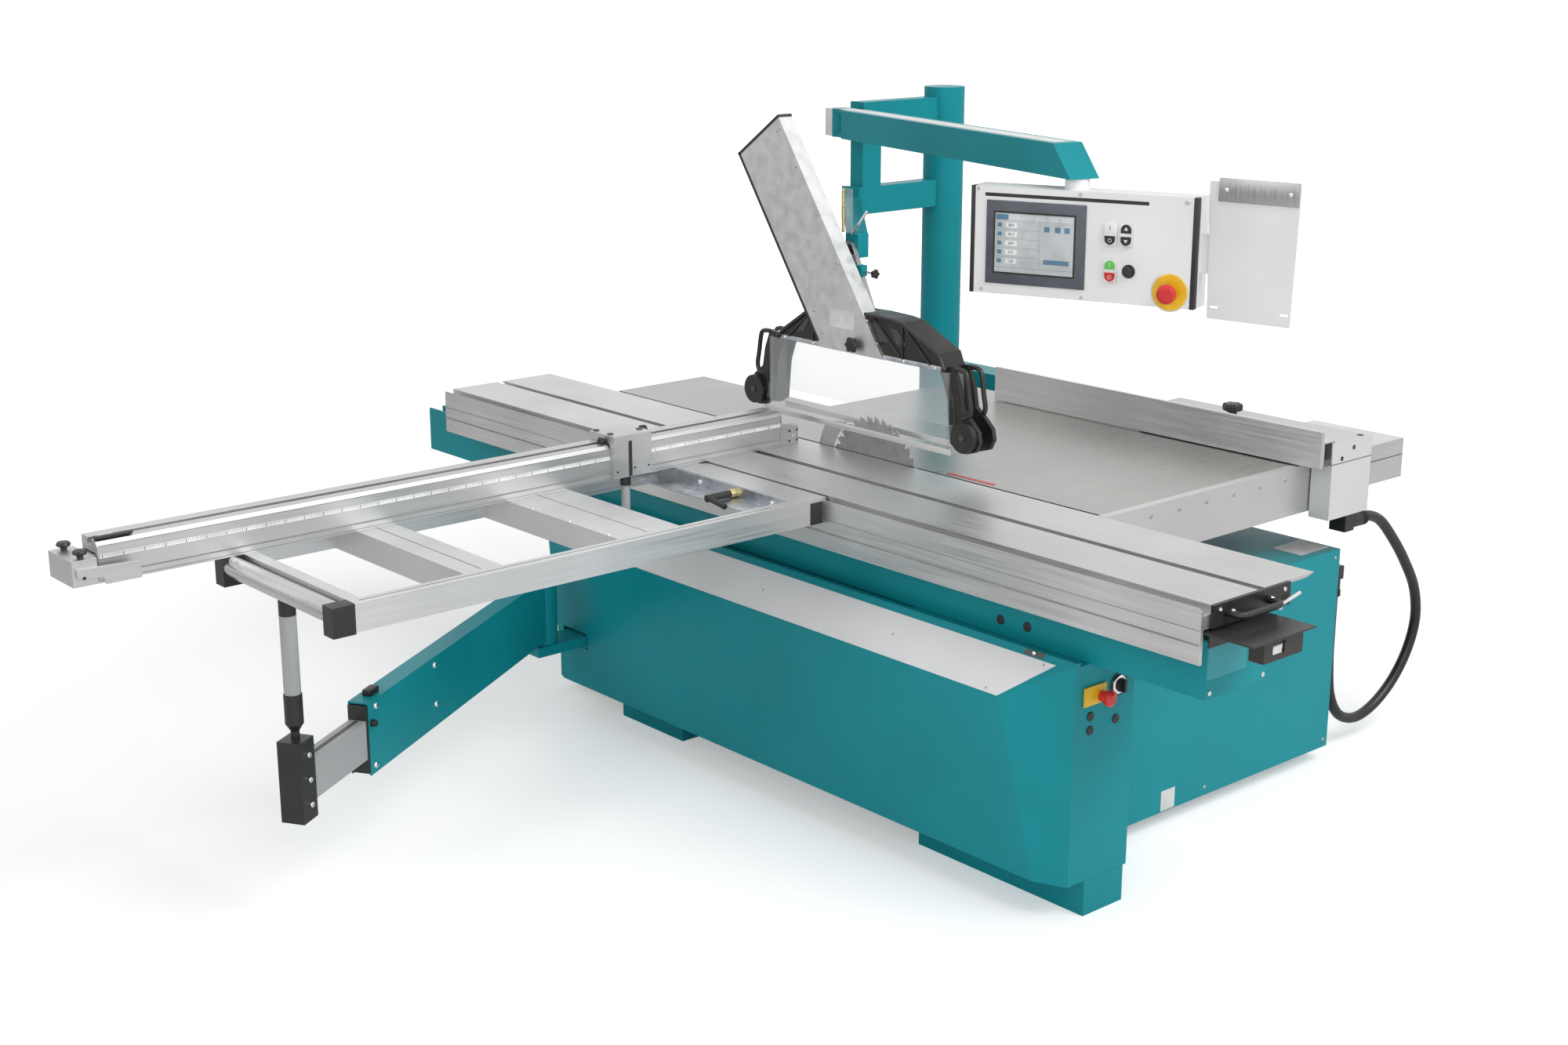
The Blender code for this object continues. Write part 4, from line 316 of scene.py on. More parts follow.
traySplit = machineOrigin.z - 0.1265
# the teal below the split is a lighter copy of tealColour: painted light
finishes["tray"] = trayFinish("traySheet", (0.022, 0.020, 0.018), (0.020, 0.340, 0.390), traySplit)
nodeFinish = {
    "teal": "base_body front_panel side_cabinet slide_rail support_beam column panel_arm swing_arm "
    "guard_boom",
    "alongY": "sliding_table table_front_rail rip_fence",
    "alongX": "outrigger_frame guide_rail",
    "fence": "crosscut_fence flip_stop flip_stop_blade end_stop end_stop_flap",
    "ground": "saw_table rear_table table_insert",
    "panelPaint": "control_panel document_holder",
    "pale": "rip_carriage",
    "ductSheet": "guard_duct",
    "zinc": "clamp_plate",
    "silver": "telescopic_arm",
    "steel": "roller_carriage guard_link lift_arm riving_knife",
    "roller": "outrigger_roller",
    "blade": "saw_blade",
    "chrome": "lock_lever",
    "guardBlack": "guard_hood guard_wheel_near guard_wheel_far",
    "clear": "guard_shield",
    "blackSteel": "table_end_block support_post",
    "tray": "rail_tray",
    "dark": "saw_motor saw_trunnion drive_belt",
    "black": "push_handle clamp_lever roller_bracket_near roller_bracket_far hose_elbow hose_gland "
    "rip_knob base_power_switch panel_selector",
    "rubber": "control_hose",
    "red": "base_estop_button panel_estop_button",
    "white": "start_button fence_button blade_button",
}
wearing = {}
for finishName, nodeNames in nodeFinish.items():
    for nodeName in nodeNames.split():
        wearing[nodeName] = finishName
for nodeName, cadNode in frame["nodes"].items():
    cadNode.data.materials.clear()
    cadNode.data.materials.append(finishes[wearing.get(nodeName, "dark")])
    if nodeName not in wearing:
        print("no finish named for", nodeName)
print("finishes made")


# Shaping


def newObject(name, data):
    made = bpy.data.objects.new(name, data)
    bpy.context.scene.collection.objects.link(made)
    return made


def addBox(bm, low, high, rounding=0.0, steps=2):
    low, high = Vector(low), Vector(high)
    place = Matrix.Translation((low + high) / 2) @ Matrix.Diagonal((*(high - low), 1))
    made = bmesh.ops.create_cube(bm, size=1, matrix=place)["verts"]
    if rounding > 0:
        edges = list({e for v in made for e in v.link_edges})
        bmesh.ops.bevel(bm, geom=edges, offset=rounding, segments=steps, profile=0.5, affect="EDGES")


def ringPoint(angle, radius, corners):
    if corners:
        step = math.tau / corners
        radius = radius * math.cos(step / 2) / math.cos((angle % step) - step / 2)
    return (radius * math.cos(angle), radius * math.sin(angle))


def addTurned(bm, profile, base=(0, 0, 0), direction=(0, 0, 1), sides=24, corners=0):
    # profile: (radius, height) or (radius, height, corners) from the foot's middle to the top's middle
    turn = Vector(direction).normalized().to_track_quat("Z", "Y").to_matrix().to_4x4()
    place = Matrix.Translation(Vector(base)) @ turn
    rings = []
    for step in profile:
        radius, height = step[0], step[1]
        count = step[2] if len(step) > 2 else corners
        if radius <= 0:
            rings.append([bm.verts.new(place @ Vector((0, 0, height)))])
            continue
        ring = []
        for side in range(sides):
            x, y = ringPoint(math.tau * side / sides, radius, count)
            ring.append(bm.verts.new(place @ Vector((x, y, height))))
        rings.append(ring)
    for lower, upper in zip(rings, rings[1:]):
        for side in range(sides):
            after = (side + 1) % sides
            if len(lower) == 1:
                bm.faces.new((lower[0], upper[after], upper[side]))
            elif len(upper) == 1:
                bm.faces.new((lower[side], lower[after], upper[0]))
            else:
                bm.faces.new((lower[side], lower[after], upper[after], upper[side]))


def addRod(bm, start, end, radius, endRadius=None, sides=20, rounding=0.0):
    start, end = Vector(start), Vector(end)
    last = radius if endRadius is None else endRadius
    length = (end - start).length
    if rounding > 0:
        profile = [
            (0, 0),
            (radius - rounding, 0),
            (radius - 0.3 * rounding, 0.3 * rounding),
            (radius, rounding),
            (last, length - rounding),
            (last - 0.3 * rounding, length - 0.3 * rounding),
            (last - rounding, length),
            (0, length),
        ]
    else:
        profile = [(0, 0), (radius, 0), (last, length), (0, length)]
    addTurned(bm, profile, start, end - start, sides)


def addTube(bm, points, radius, sides=12, flat=1.0):
    points = [Vector(p) for p in points]
    rings, side = [], None
    for index, point in enumerate(points):
        ahead = points[min(index + 1, len(points) - 1)] - points[max(index - 1, 0)]
        ahead.normalize()
        if side is None:
            side = ahead.orthogonal()
        side = (side - ahead * side.dot(ahead)).normalized()
        up = ahead.cross(side)
        ring = []
        for step in range(sides):
            angle = math.tau * step / sides
            offset = side * math.cos(angle) * radius * flat + up * math.sin(angle) * radius
            ring.append(bm.verts.new(point + offset))
        rings.append(ring)
    for first, second in zip(rings, rings[1:]):
        for step in range(sides):
            after = (step + 1) % sides
            bm.faces.new((first[step], first[after], second[after], second[step]))
    bm.faces.new(list(reversed(rings[0])))
    bm.faces.new(rings[-1])


def addPlate(bm, outline, depth):
    # a flat outline of 3-D points given a thickness along depth
    depth = Vector(depth)
    lower = [bm.verts.new(Vector(p)) for p in outline]
    upper = [bm.verts.new(Vector(p) + depth) for p in outline]
    count = len(outline)
    sides = [bm.faces.new(list(reversed(lower))), bm.faces.new(upper)]
    for index in range(count):
        after = (index + 1) % count
        sides.append(bm.faces.new((lower[index], lower[after], upper[after], upper[index])))
    bmesh.ops.recalc_face_normals(bm, faces=sides)


def smoothPath(points, steps=8):
    knots = [Vector(p) for p in points]
    knots = [2 * knots[0] - knots[1], *knots, 2 * knots[-1] - knots[-2]]
    found = []
    for a, b, c, d in zip(knots, knots[1:], knots[2:], knots[3:]):
        for step in range(steps):
            t = step / steps
            found.append(
                0.5
                * (2 * b + (c - a) * t + (2 * a - 5 * b + 4 * c - d) * t * t + (3 * b - a - 3 * c + d) * t**3)
            )
    found.append(knots[-2])
    return found


def closedMesh(name, bm, smoothTo=38):
    bmesh.ops.recalc_face_normals(bm, faces=bm.faces)
    mesh = bpy.data.meshes.new(name)
    bm.to_mesh(mesh)
    bm.free()
    mesh.shade_smooth()
    mesh.set_sharp_from_angle(angle=math.radians(smoothTo))
    return mesh


def makePiece(name, bm, finish, body, frameMatrix=machineFrame, smoothTo=38):
    bmesh.ops.transform(bm, matrix=frameMatrix, verts=bm.verts)
    mesh = closedMesh(name, bm, smoothTo)
    mesh.materials.append(finishes[finish])
    piece = newObject(name, mesh)
    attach(piece, body)
    return piece


def slabs(name, corners, finish, body, rounding=0.0, frameMatrix=machineFrame):
    bm = bmesh.new()
    for low, high in corners:
        addBox(bm, low, high, rounding)
    return makePiece(name, bm, finish, body, frameMatrix)


def turned(name, profile, bases, direction, finish, body, frameMatrix=machineFrame, sides=28):
    bm = bmesh.new()
    for base in bases:
        addTurned(bm, profile, base, direction, sides)
    return makePiece(name, bm, finish, body, frameMatrix)


def rods(name, ends, radius, finish, body, frameMatrix=machineFrame, **shape):
    bm = bmesh.new()
    for start, end in ends:
        addRod(bm, start, end, radius, **shape)
    return makePiece(name, bm, finish, body, frameMatrix)


def plates(name, outlines, depth, finish, body, frameMatrix=machineFrame):
    bm = bmesh.new()
    for outline in outlines:
        addPlate(bm, outline, depth)
    return makePiece(name, bm, finish, body, frameMatrix)


# Repeats: trees that set one shape on many points


def newTree(name, output, **inputs):
    tree = bpy.data.node_groups.new(name, "GeometryNodeTree")
    for title, kind in inputs.items():
        tree.interface.new_socket(title, in_out="INPUT", socket_type="NodeSocket" + kind)
    tree.interface.new_socket(output, in_out="OUTPUT", socket_type="NodeSocketGeometry")
    return tree, tree.nodes.new("NodeGroupInput"), tree.nodes.new("NodeGroupOutput")


def dressTree(tree, given, result, geometry):
    dressed = addNode(
        tree, "GeometryNodeSetMaterial", {"Geometry": geometry, "Material": given.outputs["Finish"]}
    )
    tree.links.new(dressed.outputs[0], result.inputs[0])
    return tree


def socketNamed(tree, name):
    for item in tree.interface.items_tree:
        if item.item_type == "SOCKET" and item.in_out == "INPUT" and item.name == name:
            return item.identifier
    raise KeyError(name)


def growPiece(name, mesh, tree, body, **values):
    # the tree's result replaces the mesh it starts from
    piece = newObject(name, mesh)
    modifier = piece.modifiers.new(name, "NODES")
    modifier.node_group = tree
    for title, value in values.items():
        modifier[socketNamed(tree, title)] = value
    graph = bpy.context.evaluated_depsgraph_get()
    made = bpy.data.meshes.new_from_object(piece.evaluated_get(graph))
    piece.modifiers.clear()
    piece.data = made
    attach(piece, body)
    return piece


def seatTree():
    tree, given, result = newTree(
        "seatHeads",
        "Heads",
        Points="Geometry",
        Head="Object",
        Size="Float",
        Height="Float",
        Turn="Vector",
        Finish="Material",
    )
    head = addNode(tree, "GeometryNodeObjectInfo", {"Object": given.outputs["Head"]})
    size = addNode(
        tree,
        "ShaderNodeCombineXYZ",
        {"X": given.outputs["Size"], "Y": given.outputs["Size"], "Z": given.outputs["Height"]},
    )
    turn = addNode(tree, "FunctionNodeEulerToRotation", {"Euler": given.outputs["Turn"]})
    seated = addNode(
        tree,
        "GeometryNodeInstanceOnPoints",
        {
            "Points": given.outputs["Points"],
            "Instance": head.outputs["Geometry"],
            "Rotation": turn.outputs[0],
            "Scale": size.outputs[0],
        },
    )
    real = addNode(tree, "GeometryNodeRealizeInstances", {"Geometry": seated.outputs[0]})
    return dressTree(tree, given, result, real.outputs[0])


def headShape(name, profile, sides=24):
    bm = bmesh.new()
    addTurned(bm, profile, sides=sides)
    shape = newObject(name, closedMesh(name, bm))
    shape.hide_render = True
    return shape


heads = {
    "socket": headShape(
        "socketHead",
        [(0, 0), (1, 0), (1, 0.86), (0.9, 1), (0.56, 1), (0.56, 1, 6), (0.56, 0.35, 6), (0, 0.3)],
    ),
    "dome": headShape("domeHead", [(0, 0), (1, 0), (0.97, 0.35), (0.8, 0.72), (0.45, 0.95), (0, 1)]),
    "flat": headShape(
        "flatHead", [(0, 0), (1, 0), (1, 0.7), (0.93, 1), (0.4, 1), (0.4, 1, 6), (0.38, 0.4, 6), (0, 0.4)]
    ),
    "hexagon": headShape(
        "hexagonHead", [(0, 0), (1.25, 0), (1.25, 0.2), (1, 0.2, 6), (1, 0.92, 6), (0.88, 1, 6), (0, 1)]
    ),
    # a thin dark disc laid over a hole: painted shade inside the hole
    "holeShade": headShape("darkHole", [(0, 0), (1, 0), (1, 1), (0, 1)], 16),
}
seating = seatTree()


def seatHeads(
    name, points, direction, radius, height, body, head="socket", finish="chrome", frameMatrix=None
):
    frameMatrix = frameMatrix or machineFrame
    mesh = bpy.data.meshes.new(name)
    mesh.from_pydata([tuple(frameMatrix @ Vector(p)) for p in points], [], [])
    facing = frameMatrix.to_3x3() @ Vector(direction)
    turn = tuple(facing.to_track_quat("Z", "Y").to_euler())
    look = {"Head": heads[head], "Size": radius, "Height": height, "Turn": turn, "Finish": finishes[finish]}
    return growPiece(name, mesh, seating, body, **look)


# Camera, lamps and floor

view = {"x": -3.928, "y": -2.677, "z": 1.387, "tilt": 74.55, "heading": -41.10, "lens": 48.69}
cameraData = bpy.data.cameras.new("viewCamera")
cameraData.lens = view["lens"]
cameraData.sensor_width = 36
camera = newObject("viewCamera", cameraData)
camera.location = machineFrame @ Vector((view["x"], view["y"], view["z"]))
camera.rotation_euler = (math.radians(view["tilt"]), 0, math.radians(view["heading"]))
bpy.context.scene.camera = camera

lamps = {
    "keyLamp": {"at": (0.8, -3.6, 5.2), "size": 4.5, "power": 330},
    "leftLamp": {"at": (-6.0, 2.5, 3.6), "size": 4.0, "power": 60},
    "nearLamp": {"at": (-4.8, -3.4, 1.6), "size": 3.0, "power": 75},
}
for lampName, lamp in lamps.items():
    lampData = bpy.data.lights.new(lampName, "AREA")
    lampData.size = lamp["size"]
    lampData.energy = lamp["power"]
    lampObject = newObject(lampName, lampData)
    lampPlace = machineFrame @ Vector(lamp["at"])
    lampObject.location = lampPlace
    aim = machineFrame @ Vector((-0.2, 1.5, -0.3))
    lampObject.rotation_euler = (aim - lampPlace).to_track_quat("-Z", "Y").to_euler()

world = bpy.context.scene.world or bpy.data.worlds.new("studio")
bpy.context.scene.world = world
world.use_nodes = True
sky = world.node_tree
sky.nodes.clear()
ray = addNode(sky, "ShaderNodeLightPath")
seenOrGlossy = addNode(
    sky,
    "ShaderNodeMath",
    {0: ray.outputs["Is Camera Ray"], 1: ray.outputs["Is Glossy Ray"]},
    operation="MAXIMUM",
)
seenAtAll = addNode(
    sky,
    "ShaderNodeMath",
    {0: seenOrGlossy.outputs[0], 1: ray.outputs["Is Transmission Ray"]},
    operation="MAXIMUM",
)
glow = addNode(sky, "ShaderNodeMapRange", {"Value": seenAtAll.outputs[0], "To Min": 0.42, "To Max": 1.0})
light = addNode(sky, "ShaderNodeBackground", {"Color": (1, 1, 1, 1), "Strength": glow.outputs[0]})
addNode(sky, "ShaderNodeOutputWorld", {"Surface": light.outputs[0]})

floorFinish = bpy.data.materials.new("paleFloor")
floorFinish.use_nodes = True
floorTree = floorFinish.node_tree
floorTree.nodes.clear()
floorRay = addNode(floorTree, "ShaderNodeLightPath")
floorSpot = addNode(floorTree, "ShaderNodeTexCoord")
floorDistance = addNode(
    floorTree, "ShaderNodeVectorMath", {0: floorSpot.outputs["Object"]}, operation="LENGTH"
)
floorGlow = addNode(
    floorTree,
    "ShaderNodeMapRange",
    {
        "Value": floorDistance.outputs["Value"],
        "From Min": 2.2,
        "From Max": 7.0,
        "To Min": 0.36,
        "To Max": 1.0,
    },
)
lift = addNode(
    floorTree,
    "ShaderNodeMath",
    {0: floorRay.outputs["Is Camera Ray"], 1: floorGlow.outputs[0]},
    operation="MULTIPLY",
)
matte = addNode(floorTree, "ShaderNodeBsdfDiffuse", {"Color": (0.86, 0.86, 0.86, 1)})
shine = addNode(floorTree, "ShaderNodeEmission", {"Color": (1, 1, 1, 1), "Strength": lift.outputs[0]})
both = addNode(floorTree, "ShaderNodeAddShader", {0: matte.outputs[0], 1: shine.outputs[0]})
addNode(floorTree, "ShaderNodeOutputMaterial", {"Surface": both.outputs[0]})
floorMesh = bpy.data.meshes.new("floor")
reach = 60
floorZ = floorHeight + machineOrigin.z
floorCorners = ((-1, -1), (1, -1), (1, 1), (-1, 1))
floorMesh.from_pydata([(x * reach, y * reach, floorZ) for x, y in floorCorners], [], [(0, 1, 2, 3)])
floorMesh.materials.append(floorFinish)
floor = newObject("floor", floorMesh)
bpy.context.scene.view_settings.view_transform = "Standard"
print("camera, lamps and floor set")


# The hose from the rip carriage to the cabinet

hoseSizes = {"radius": 0.0150, "sides": 20, "steps": 12}
hoseRoute = [
    (1.0503, 0.583, -0.185),
    (1.100, 0.583, -0.185),
    (1.165, 0.585, -0.212),
    (1.245, 0.590, -0.282),
    (1.324, 0.597, -0.364),
    (1.400, 0.606, -0.462),
    (1.437, 0.616, -0.565),
    (1.425, 0.627, -0.665),
    (1.372, 0.636, -0.752),
    (1.290, 0.642, -0.812),
    (1.200, 0.645, -0.832),
    (1.115, 0.645, -0.800),
    (1.062, 0.643, -0.725),
    (1.042, 0.641, -0.620),
    (1.038, 0.640, -0.530),
    (1.038, 0.640, -0.460),
    (1.038, 0.640, -0.4003),
]
hosePath = [machineFrame @ p for p in smoothPath(hoseRoute, hoseSizes["steps"])]
bm = bmesh.new()
addTube(bm, hosePath, hoseSizes["radius"], hoseSizes["sides"])
bmesh.ops.recalc_face_normals(bm, faces=bm.faces)
hoseMesh = bpy.data.meshes.new("controlHose")
bm.to_mesh(hoseMesh)
bm.free()
hoseMesh.materials.append(finishes["rubber"])
hoseMesh.shade_smooth()
hose = newObject("controlHose", hoseMesh)
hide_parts("control_hose")
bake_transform(hose)
print("hose made")


# Saw blade: a plate with hooked teeth and carbide tips

bladeSizes = {"radius": 0.175, "teeth": 36, "gullet": 0.018, "body": 0.0028, "tip": 0.0034}
bladePlace = {"x": 0.0045, "y": 1.450, "z": -0.060}


def toothOutline(sizes):
    outline = []
    step = math.tau / sizes["teeth"]
    r, g = sizes["radius"] - 0.001, sizes["gullet"]
    shape = [(0.00, r), (0.10, r - 0.001), (0.34, r - 0.005), (0.55, r - 0.4 * g), (0.72, r - 0.85 * g)]
    shape += [(0.85, r - g), (0.94, r - 0.8 * g), (0.985, r - 0.35 * g)]
    for tooth in range(sizes["teeth"]):
        for share, radius in shape:
            angle = (tooth + share) * step
            outline.append((radius * math.cos(angle), radius * math.sin(angle)))
    return outline


def bladeBody(sizes):
    bm = bmesh.new()
    half = sizes["body"] / 2
    outer = toothOutline(sizes)
    count = len(outer)
    rings = []
    for x in (-half, half):
        rim = [bm.verts.new((x, y, z)) for y, z in outer]
        middle = bm.verts.new((x, 0, 0))
        rings.append((rim, middle))
    for index in range(count):
        after = (index + 1) % count
        bm.faces.new((rings[0][0][index], rings[0][0][after], rings[1][0][after], rings[1][0][index]))
        for rim, middle in rings:
            bm.faces.new((rim[index], rim[after], middle))
    bmesh.ops.translate(bm, verts=bm.verts, vec=(bladePlace["x"], bladePlace["y"], bladePlace["z"]))
    return bm


bladePlate = makePiece("bladePlate", bladeBody(bladeSizes), "blade", "blade", smoothTo=20)
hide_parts("saw_blade")


def toothTree():
    tree, given, result = newTree(
        "carbideTips", "Tips", Count="Int", Radius="Float", Size="Vector", Place="Vector", Finish="Material"
    )
    ring = addNode(
        tree,
        "GeometryNodeMeshCircle",
        {"Vertices": given.outputs["Count"], "Radius": given.outputs["Radius"]},
    )
    tip = addNode(tree, "GeometryNodeMeshCube", {"Size": given.outputs["Size"]})
    place = addNode(tree, "GeometryNodeInputPosition")
    outward = addNode(
        tree, "FunctionNodeAlignRotationToVector", {"Vector": place.outputs[0]}, axis="X", pivot_axis="Z"
    )
    seated = addNode(
        tree,
        "GeometryNodeInstanceOnPoints",
        {"Points": ring.outputs[0], "Instance": tip.outputs[0], "Rotation": outward.outputs[0]},
    )
    real = addNode(tree, "GeometryNodeRealizeInstances", {"Geometry": seated.outputs[0]})
    upright = addNode(
        tree,
        "GeometryNodeTransform",
        {
            "Geometry": real.outputs[0],
            "Rotation": (math.pi / 2, 0, math.pi / 2),
            "Translation": given.outputs["Place"],
        },
    )
    return dressTree(tree, given, result, upright.outputs[0])


growPiece(
    "bladeTips",
    bpy.data.meshes.new("bladeTips"),
    toothTree(),
    "blade",
    Count=bladeSizes["teeth"],
    Radius=bladeSizes["radius"] - 0.004,
    Size=(0.0078, 0.0030, bladeSizes["tip"]),
    Place=tuple(machineFrame @ Vector((bladePlace["x"], bladePlace["y"], bladePlace["z"]))),
    Finish=finishes["carbide"],
)

hub = {"inner": 0.045, "thick": 0.0036}
bm = bmesh.new()
centre = (bladePlace["x"], bladePlace["y"], bladePlace["z"])
for sideways in (-1, 1):
    start = (centre[0] + sideways * 0.0014, centre[1], centre[2])
    inner, capTop = hub["inner"], hub["thick"] - 0.0014
    profile = [(0, 0), (inner, 0), (inner - 0.001, capTop), (0, capTop)]
    addTurned(bm, profile, start, (sideways, 0, 0), 40)
makePiece("bladeFlanges", bm, "steel", "blade")
print("blade made")

# Round caps and lobed knobs


def dials(name, centres, direction, radius, height, finish, body, frameMatrix=machineFrame):
    edge = 0.0012
    profile = [(0, 0), (radius, 0), (radius, height - edge), (radius - edge, height), (0, height)]
    return turned(name, profile, centres, direction, finish, body, frameMatrix)


def lobedKnob(name, base, direction, radius, height, body, finish="black", lobes=6, frameMatrix=machineFrame):
    bm = bmesh.new()
    turn = Vector(direction).normalized().to_track_quat("Z", "Y").to_matrix().to_4x4()
    place = Matrix.Translation(Vector(base)) @ turn
    sides = lobes * 10
    layers = [(0.40, 0), (0.42, 0.32), (0.90, 0.36), (1.0, 0.46), (1.0, 0.84), (0.90, 0.97), (0.5, 1.0)]
    rings = []
    for share, rise in layers:
        ring = []
        for side in range(sides):
            angle = math.tau * side / sides
            wave = 0.87 + 0.13 * math.cos(lobes * angle) if share > 0.6 else 1.0
            r = radius * share * wave
            spot = Vector((r * math.cos(angle), r * math.sin(angle), rise * height))
            ring.append(bm.verts.new(place @ spot))
        rings.append(ring)
    for lower, upper in zip(rings, rings[1:]):
        for side in range(sides):
            after = (side + 1) % sides
            bm.faces.new((lower[side], lower[after], upper[after], upper[side]))
    bm.faces.new(list(reversed(rings[0])))
    bm.faces.new(rings[-1])
    return makePiece(name, bm, finish, body, frameMatrix)


# Sliding table, its end block and rail
tableSizes = {
    "left": -0.403,
    "length": 3.000,
    "inset": 0.004,
    "skin": 0.0006,
    "grooves": ((-0.0905, 0.0050), (-0.0560, 0.0014)),
    "band": (-0.0530, -0.0030),
}
# grey strips along the apron's grooves: painted shade of the grooves
slabs(
    "apronGrooves",
    [
        (
            (tableSizes["left"] - tableSizes["skin"], tableSizes["inset"], z),
            (tableSizes["left"], tableSizes["length"] - tableSizes["inset"], z + deep),
        )
        for z, deep in tableSizes["grooves"]
    ],
    "grooveShade",
    "slider",
)
slabs(
    "apronBand",
    [
        (
            (tableSizes["left"] - 0.0004, 0.002, tableSizes["band"][0]),
            (tableSizes["left"], tableSizes["length"] - 0.002, tableSizes["band"][1]),
        )
    ],
    "alongY",
    "slider",
)
handleSizes = {"screwX": (-0.3220, -0.1830), "screwY": -0.0220, "top": -0.0184}
endBlockSizes = {"screwX": (-0.350, -0.120), "near": -0.0083, "screwZ": -0.014}
seatHeads(
    "handleScrews",
    [(x, handleSizes["screwY"], handleSizes["top"]) for x in handleSizes["screwX"]],
    (0, 0, 1),
    0.0052,
    0.0030,
    "slider",
)
seatHeads(
    "endBlockScrews",
    [(x, endBlockSizes["near"], endBlockSizes["screwZ"]) for x in endBlockSizes["screwX"]],
    (0, -1, 0),
    0.0050,
    0.0030,
    "slider",
)

railSizes = {
    "near": 0.0500,
    "low": -0.250,
    "high": -0.112,
    "left": -0.310,
    "right": -0.088,
    "plugs": ((0.670, -0.212), (0.583, -0.209)),
}
seatHeads(
    "railEndScrews",
    [
        (x, railSizes["near"], z)
        for x in (railSizes["left"] + 0.014, railSizes["right"] - 0.014)
        for z in (railSizes["low"] + 0.015, railSizes["high"] - 0.015)
    ],
    (0, -1, 0),
    0.0058,
    0.0030,
    "machine_base",
    "flat",
)
dials(
    "railPlugs",
    [(railSizes["left"], y, z) for y, z in railSizes["plugs"]],
    (-1, 0, 0),
    0.012,
    0.003,
    "black",
    "machine_base",
)
trayMirror = ((-0.2800, -0.1012, -0.1100), (-0.2460, -0.1000, -0.0900))
trayClip = ((-0.2420, -0.1030, -0.1120), (-0.2320, -0.1000, -0.0860))
slabs("trayMirror", [trayMirror], "chrome", "machine_base", 0.0003)
slabs("trayClip", [trayClip], "black", "machine_base", 0.0008)


# Front panel: strip on the slope, switches on the near end

slope = {"ridgeX": -0.437, "ridgeZ": -0.350, "rise": 1.375, "out": (-0.8087, 0.0, 0.5882)}


def onSlope(x, y, lift=0.0):
    spot = Vector((x, y, slope["ridgeZ"] + (x - slope["ridgeX"]) * slope["rise"]))
    return spot + Vector(slope["out"]) * lift


slopeCorners = {
    "accentStrip": ((-0.4355, 0.560), (-0.3680, 0.436), (-0.3680, 2.380), (-0.4355, 2.380)),
    "panelNotch": ((-0.3660, 0.540), (-0.3660, 0.480), (-0.3575, 0.480), (-0.3575, 0.540)),
}
for title, thick, finishName in (("accentStrip", 0.0012, "strip"), ("panelNotch", 0.0010, "shade")):
    outline = [onSlope(x, y) for x, y in slopeCorners[title]]
    plates(title, [outline], Vector(slope["out"]) * thick, finishName, "machine_base")
studSpot = onSlope(-0.3610, 0.510, 0.0008)
seatHeads("notchStud", [studSpot], slope["out"], 0.0065, 0.0070, "machine_base", "dome")
seatHeads(
    "stripScrews",
    [onSlope(-0.4300, 0.600, 0.0012), onSlope(-0.3730, 0.470, 0.0012)]
    + [onSlope(-0.4010, y, 0.0012) for y in (0.95, 1.45, 1.95, 2.35)],
    slope["out"],
    0.0032,
    0.0012,
    "machine_base",
    "dome",
    "silver",
)
noseSizes = {
    "near": 0.3830,
    "plate": ((-0.3310, 0.3770, -0.3540), (-0.2520, 0.3828, -0.3060)),
    "switch": (-0.204, -0.325),
    "plugs": ((-0.302, -0.383), (-0.302, -0.418), (-0.210, -0.411)),
}
slabs("stopPlate", [noseSizes["plate"]], "yellow", "machine_base", 0.0020)
switchX, switchZ = noseSizes["switch"]
ringProfile = [(0, 0), (0.0235, 0), (0.0235, 0.0040), (0.0215, 0.0055), (0, 0.0055)]
plateProfile = [(0, 0), (0.0300, 0), (0.0300, 0.0014), (0, 0.0014)]
for title, profile, lift, finishName in (
    ("switchRing", ringProfile, 0.0002, "chrome"),
    ("switchPlate", plateProfile, 0.0001, "printBlack"),
):
    foot = (switchX, noseSizes["near"] - lift, switchZ)
    turned(title, profile, [foot], (0, -1, 0), finishName, "machine_base", sides=36)
dials(
    "panelPlugs",
    [(x, noseSizes["near"], z) for x, z in noseSizes["plugs"]],
    (0, -1, 0),
    0.0115,
    0.003,
    "black",
    "machine_base",
)

cabinetSizes = {
    "near": 0.600,
    "top": -0.267,
    "sticker": 0.0006,
    "screwX": (-0.120, 0.440, 0.980),
    "screwZ": (-0.290, -0.832),
}
slabs(
    "cabinetStickers",
    [
        ((0.860, 0.630, cabinetSizes["top"]), (0.990, 0.730, cabinetSizes["top"] + cabinetSizes["sticker"])),
        (
            (0.255, cabinetSizes["near"] - cabinetSizes["sticker"], -0.852),
            (0.312, cabinetSizes["near"], -0.795),
        ),
    ],
    "sticker",
    "machine_base",
)
seatHeads(
    "cabinetScrews",
    [(x, cabinetSizes["near"], z) for x in cabinetSizes["screwX"] for z in cabinetSizes["screwZ"]],
    (0, -1, 0),
    0.0055,
    0.0025,
    "machine_base",
    "dome",
    "steel",
)
slabs("redLine", [((0.0230, 1.020, 0.0), (0.0360, 1.190, 0.0008))], "redStrip", "machine_base")
frontRail = {"near": 0.6170, "screwZ": -0.031, "firstX": 0.180, "step": 0.1127, "count": 7}
seatHeads(
    "frontRailScrews",
    [
        (frontRail["firstX"] + frontRail["step"] * n, frontRail["near"], frontRail["screwZ"])
        for n in range(frontRail["count"])
    ],
    (0, -1, 0),
    0.0060,
    0.0010,
    "machine_base",
    "flat",
    "steel",
)
seatHeads(
    "insertScrews",
    [(x, y, 0.0) for x in (0.022, 0.350) for y in (1.310, 1.620, 1.930)],
    (0, 0, 1),
    0.0050,
    0.0006,
    "machine_base",
    "flat",
    "steel",
)
slabs("guideLine", [((0.9050, 0.6594, -0.0640), (1.3650, 0.6600, -0.0610))], "shade", "machine_base")
print("table and base details made")


# Crosscut fence: scale, painted shade lines and end block

fenceSizes = {"face": 1.720, "left": -2.106, "right": -0.106, "scaleLow": 0.0560, "scaleHigh": 0.0655}


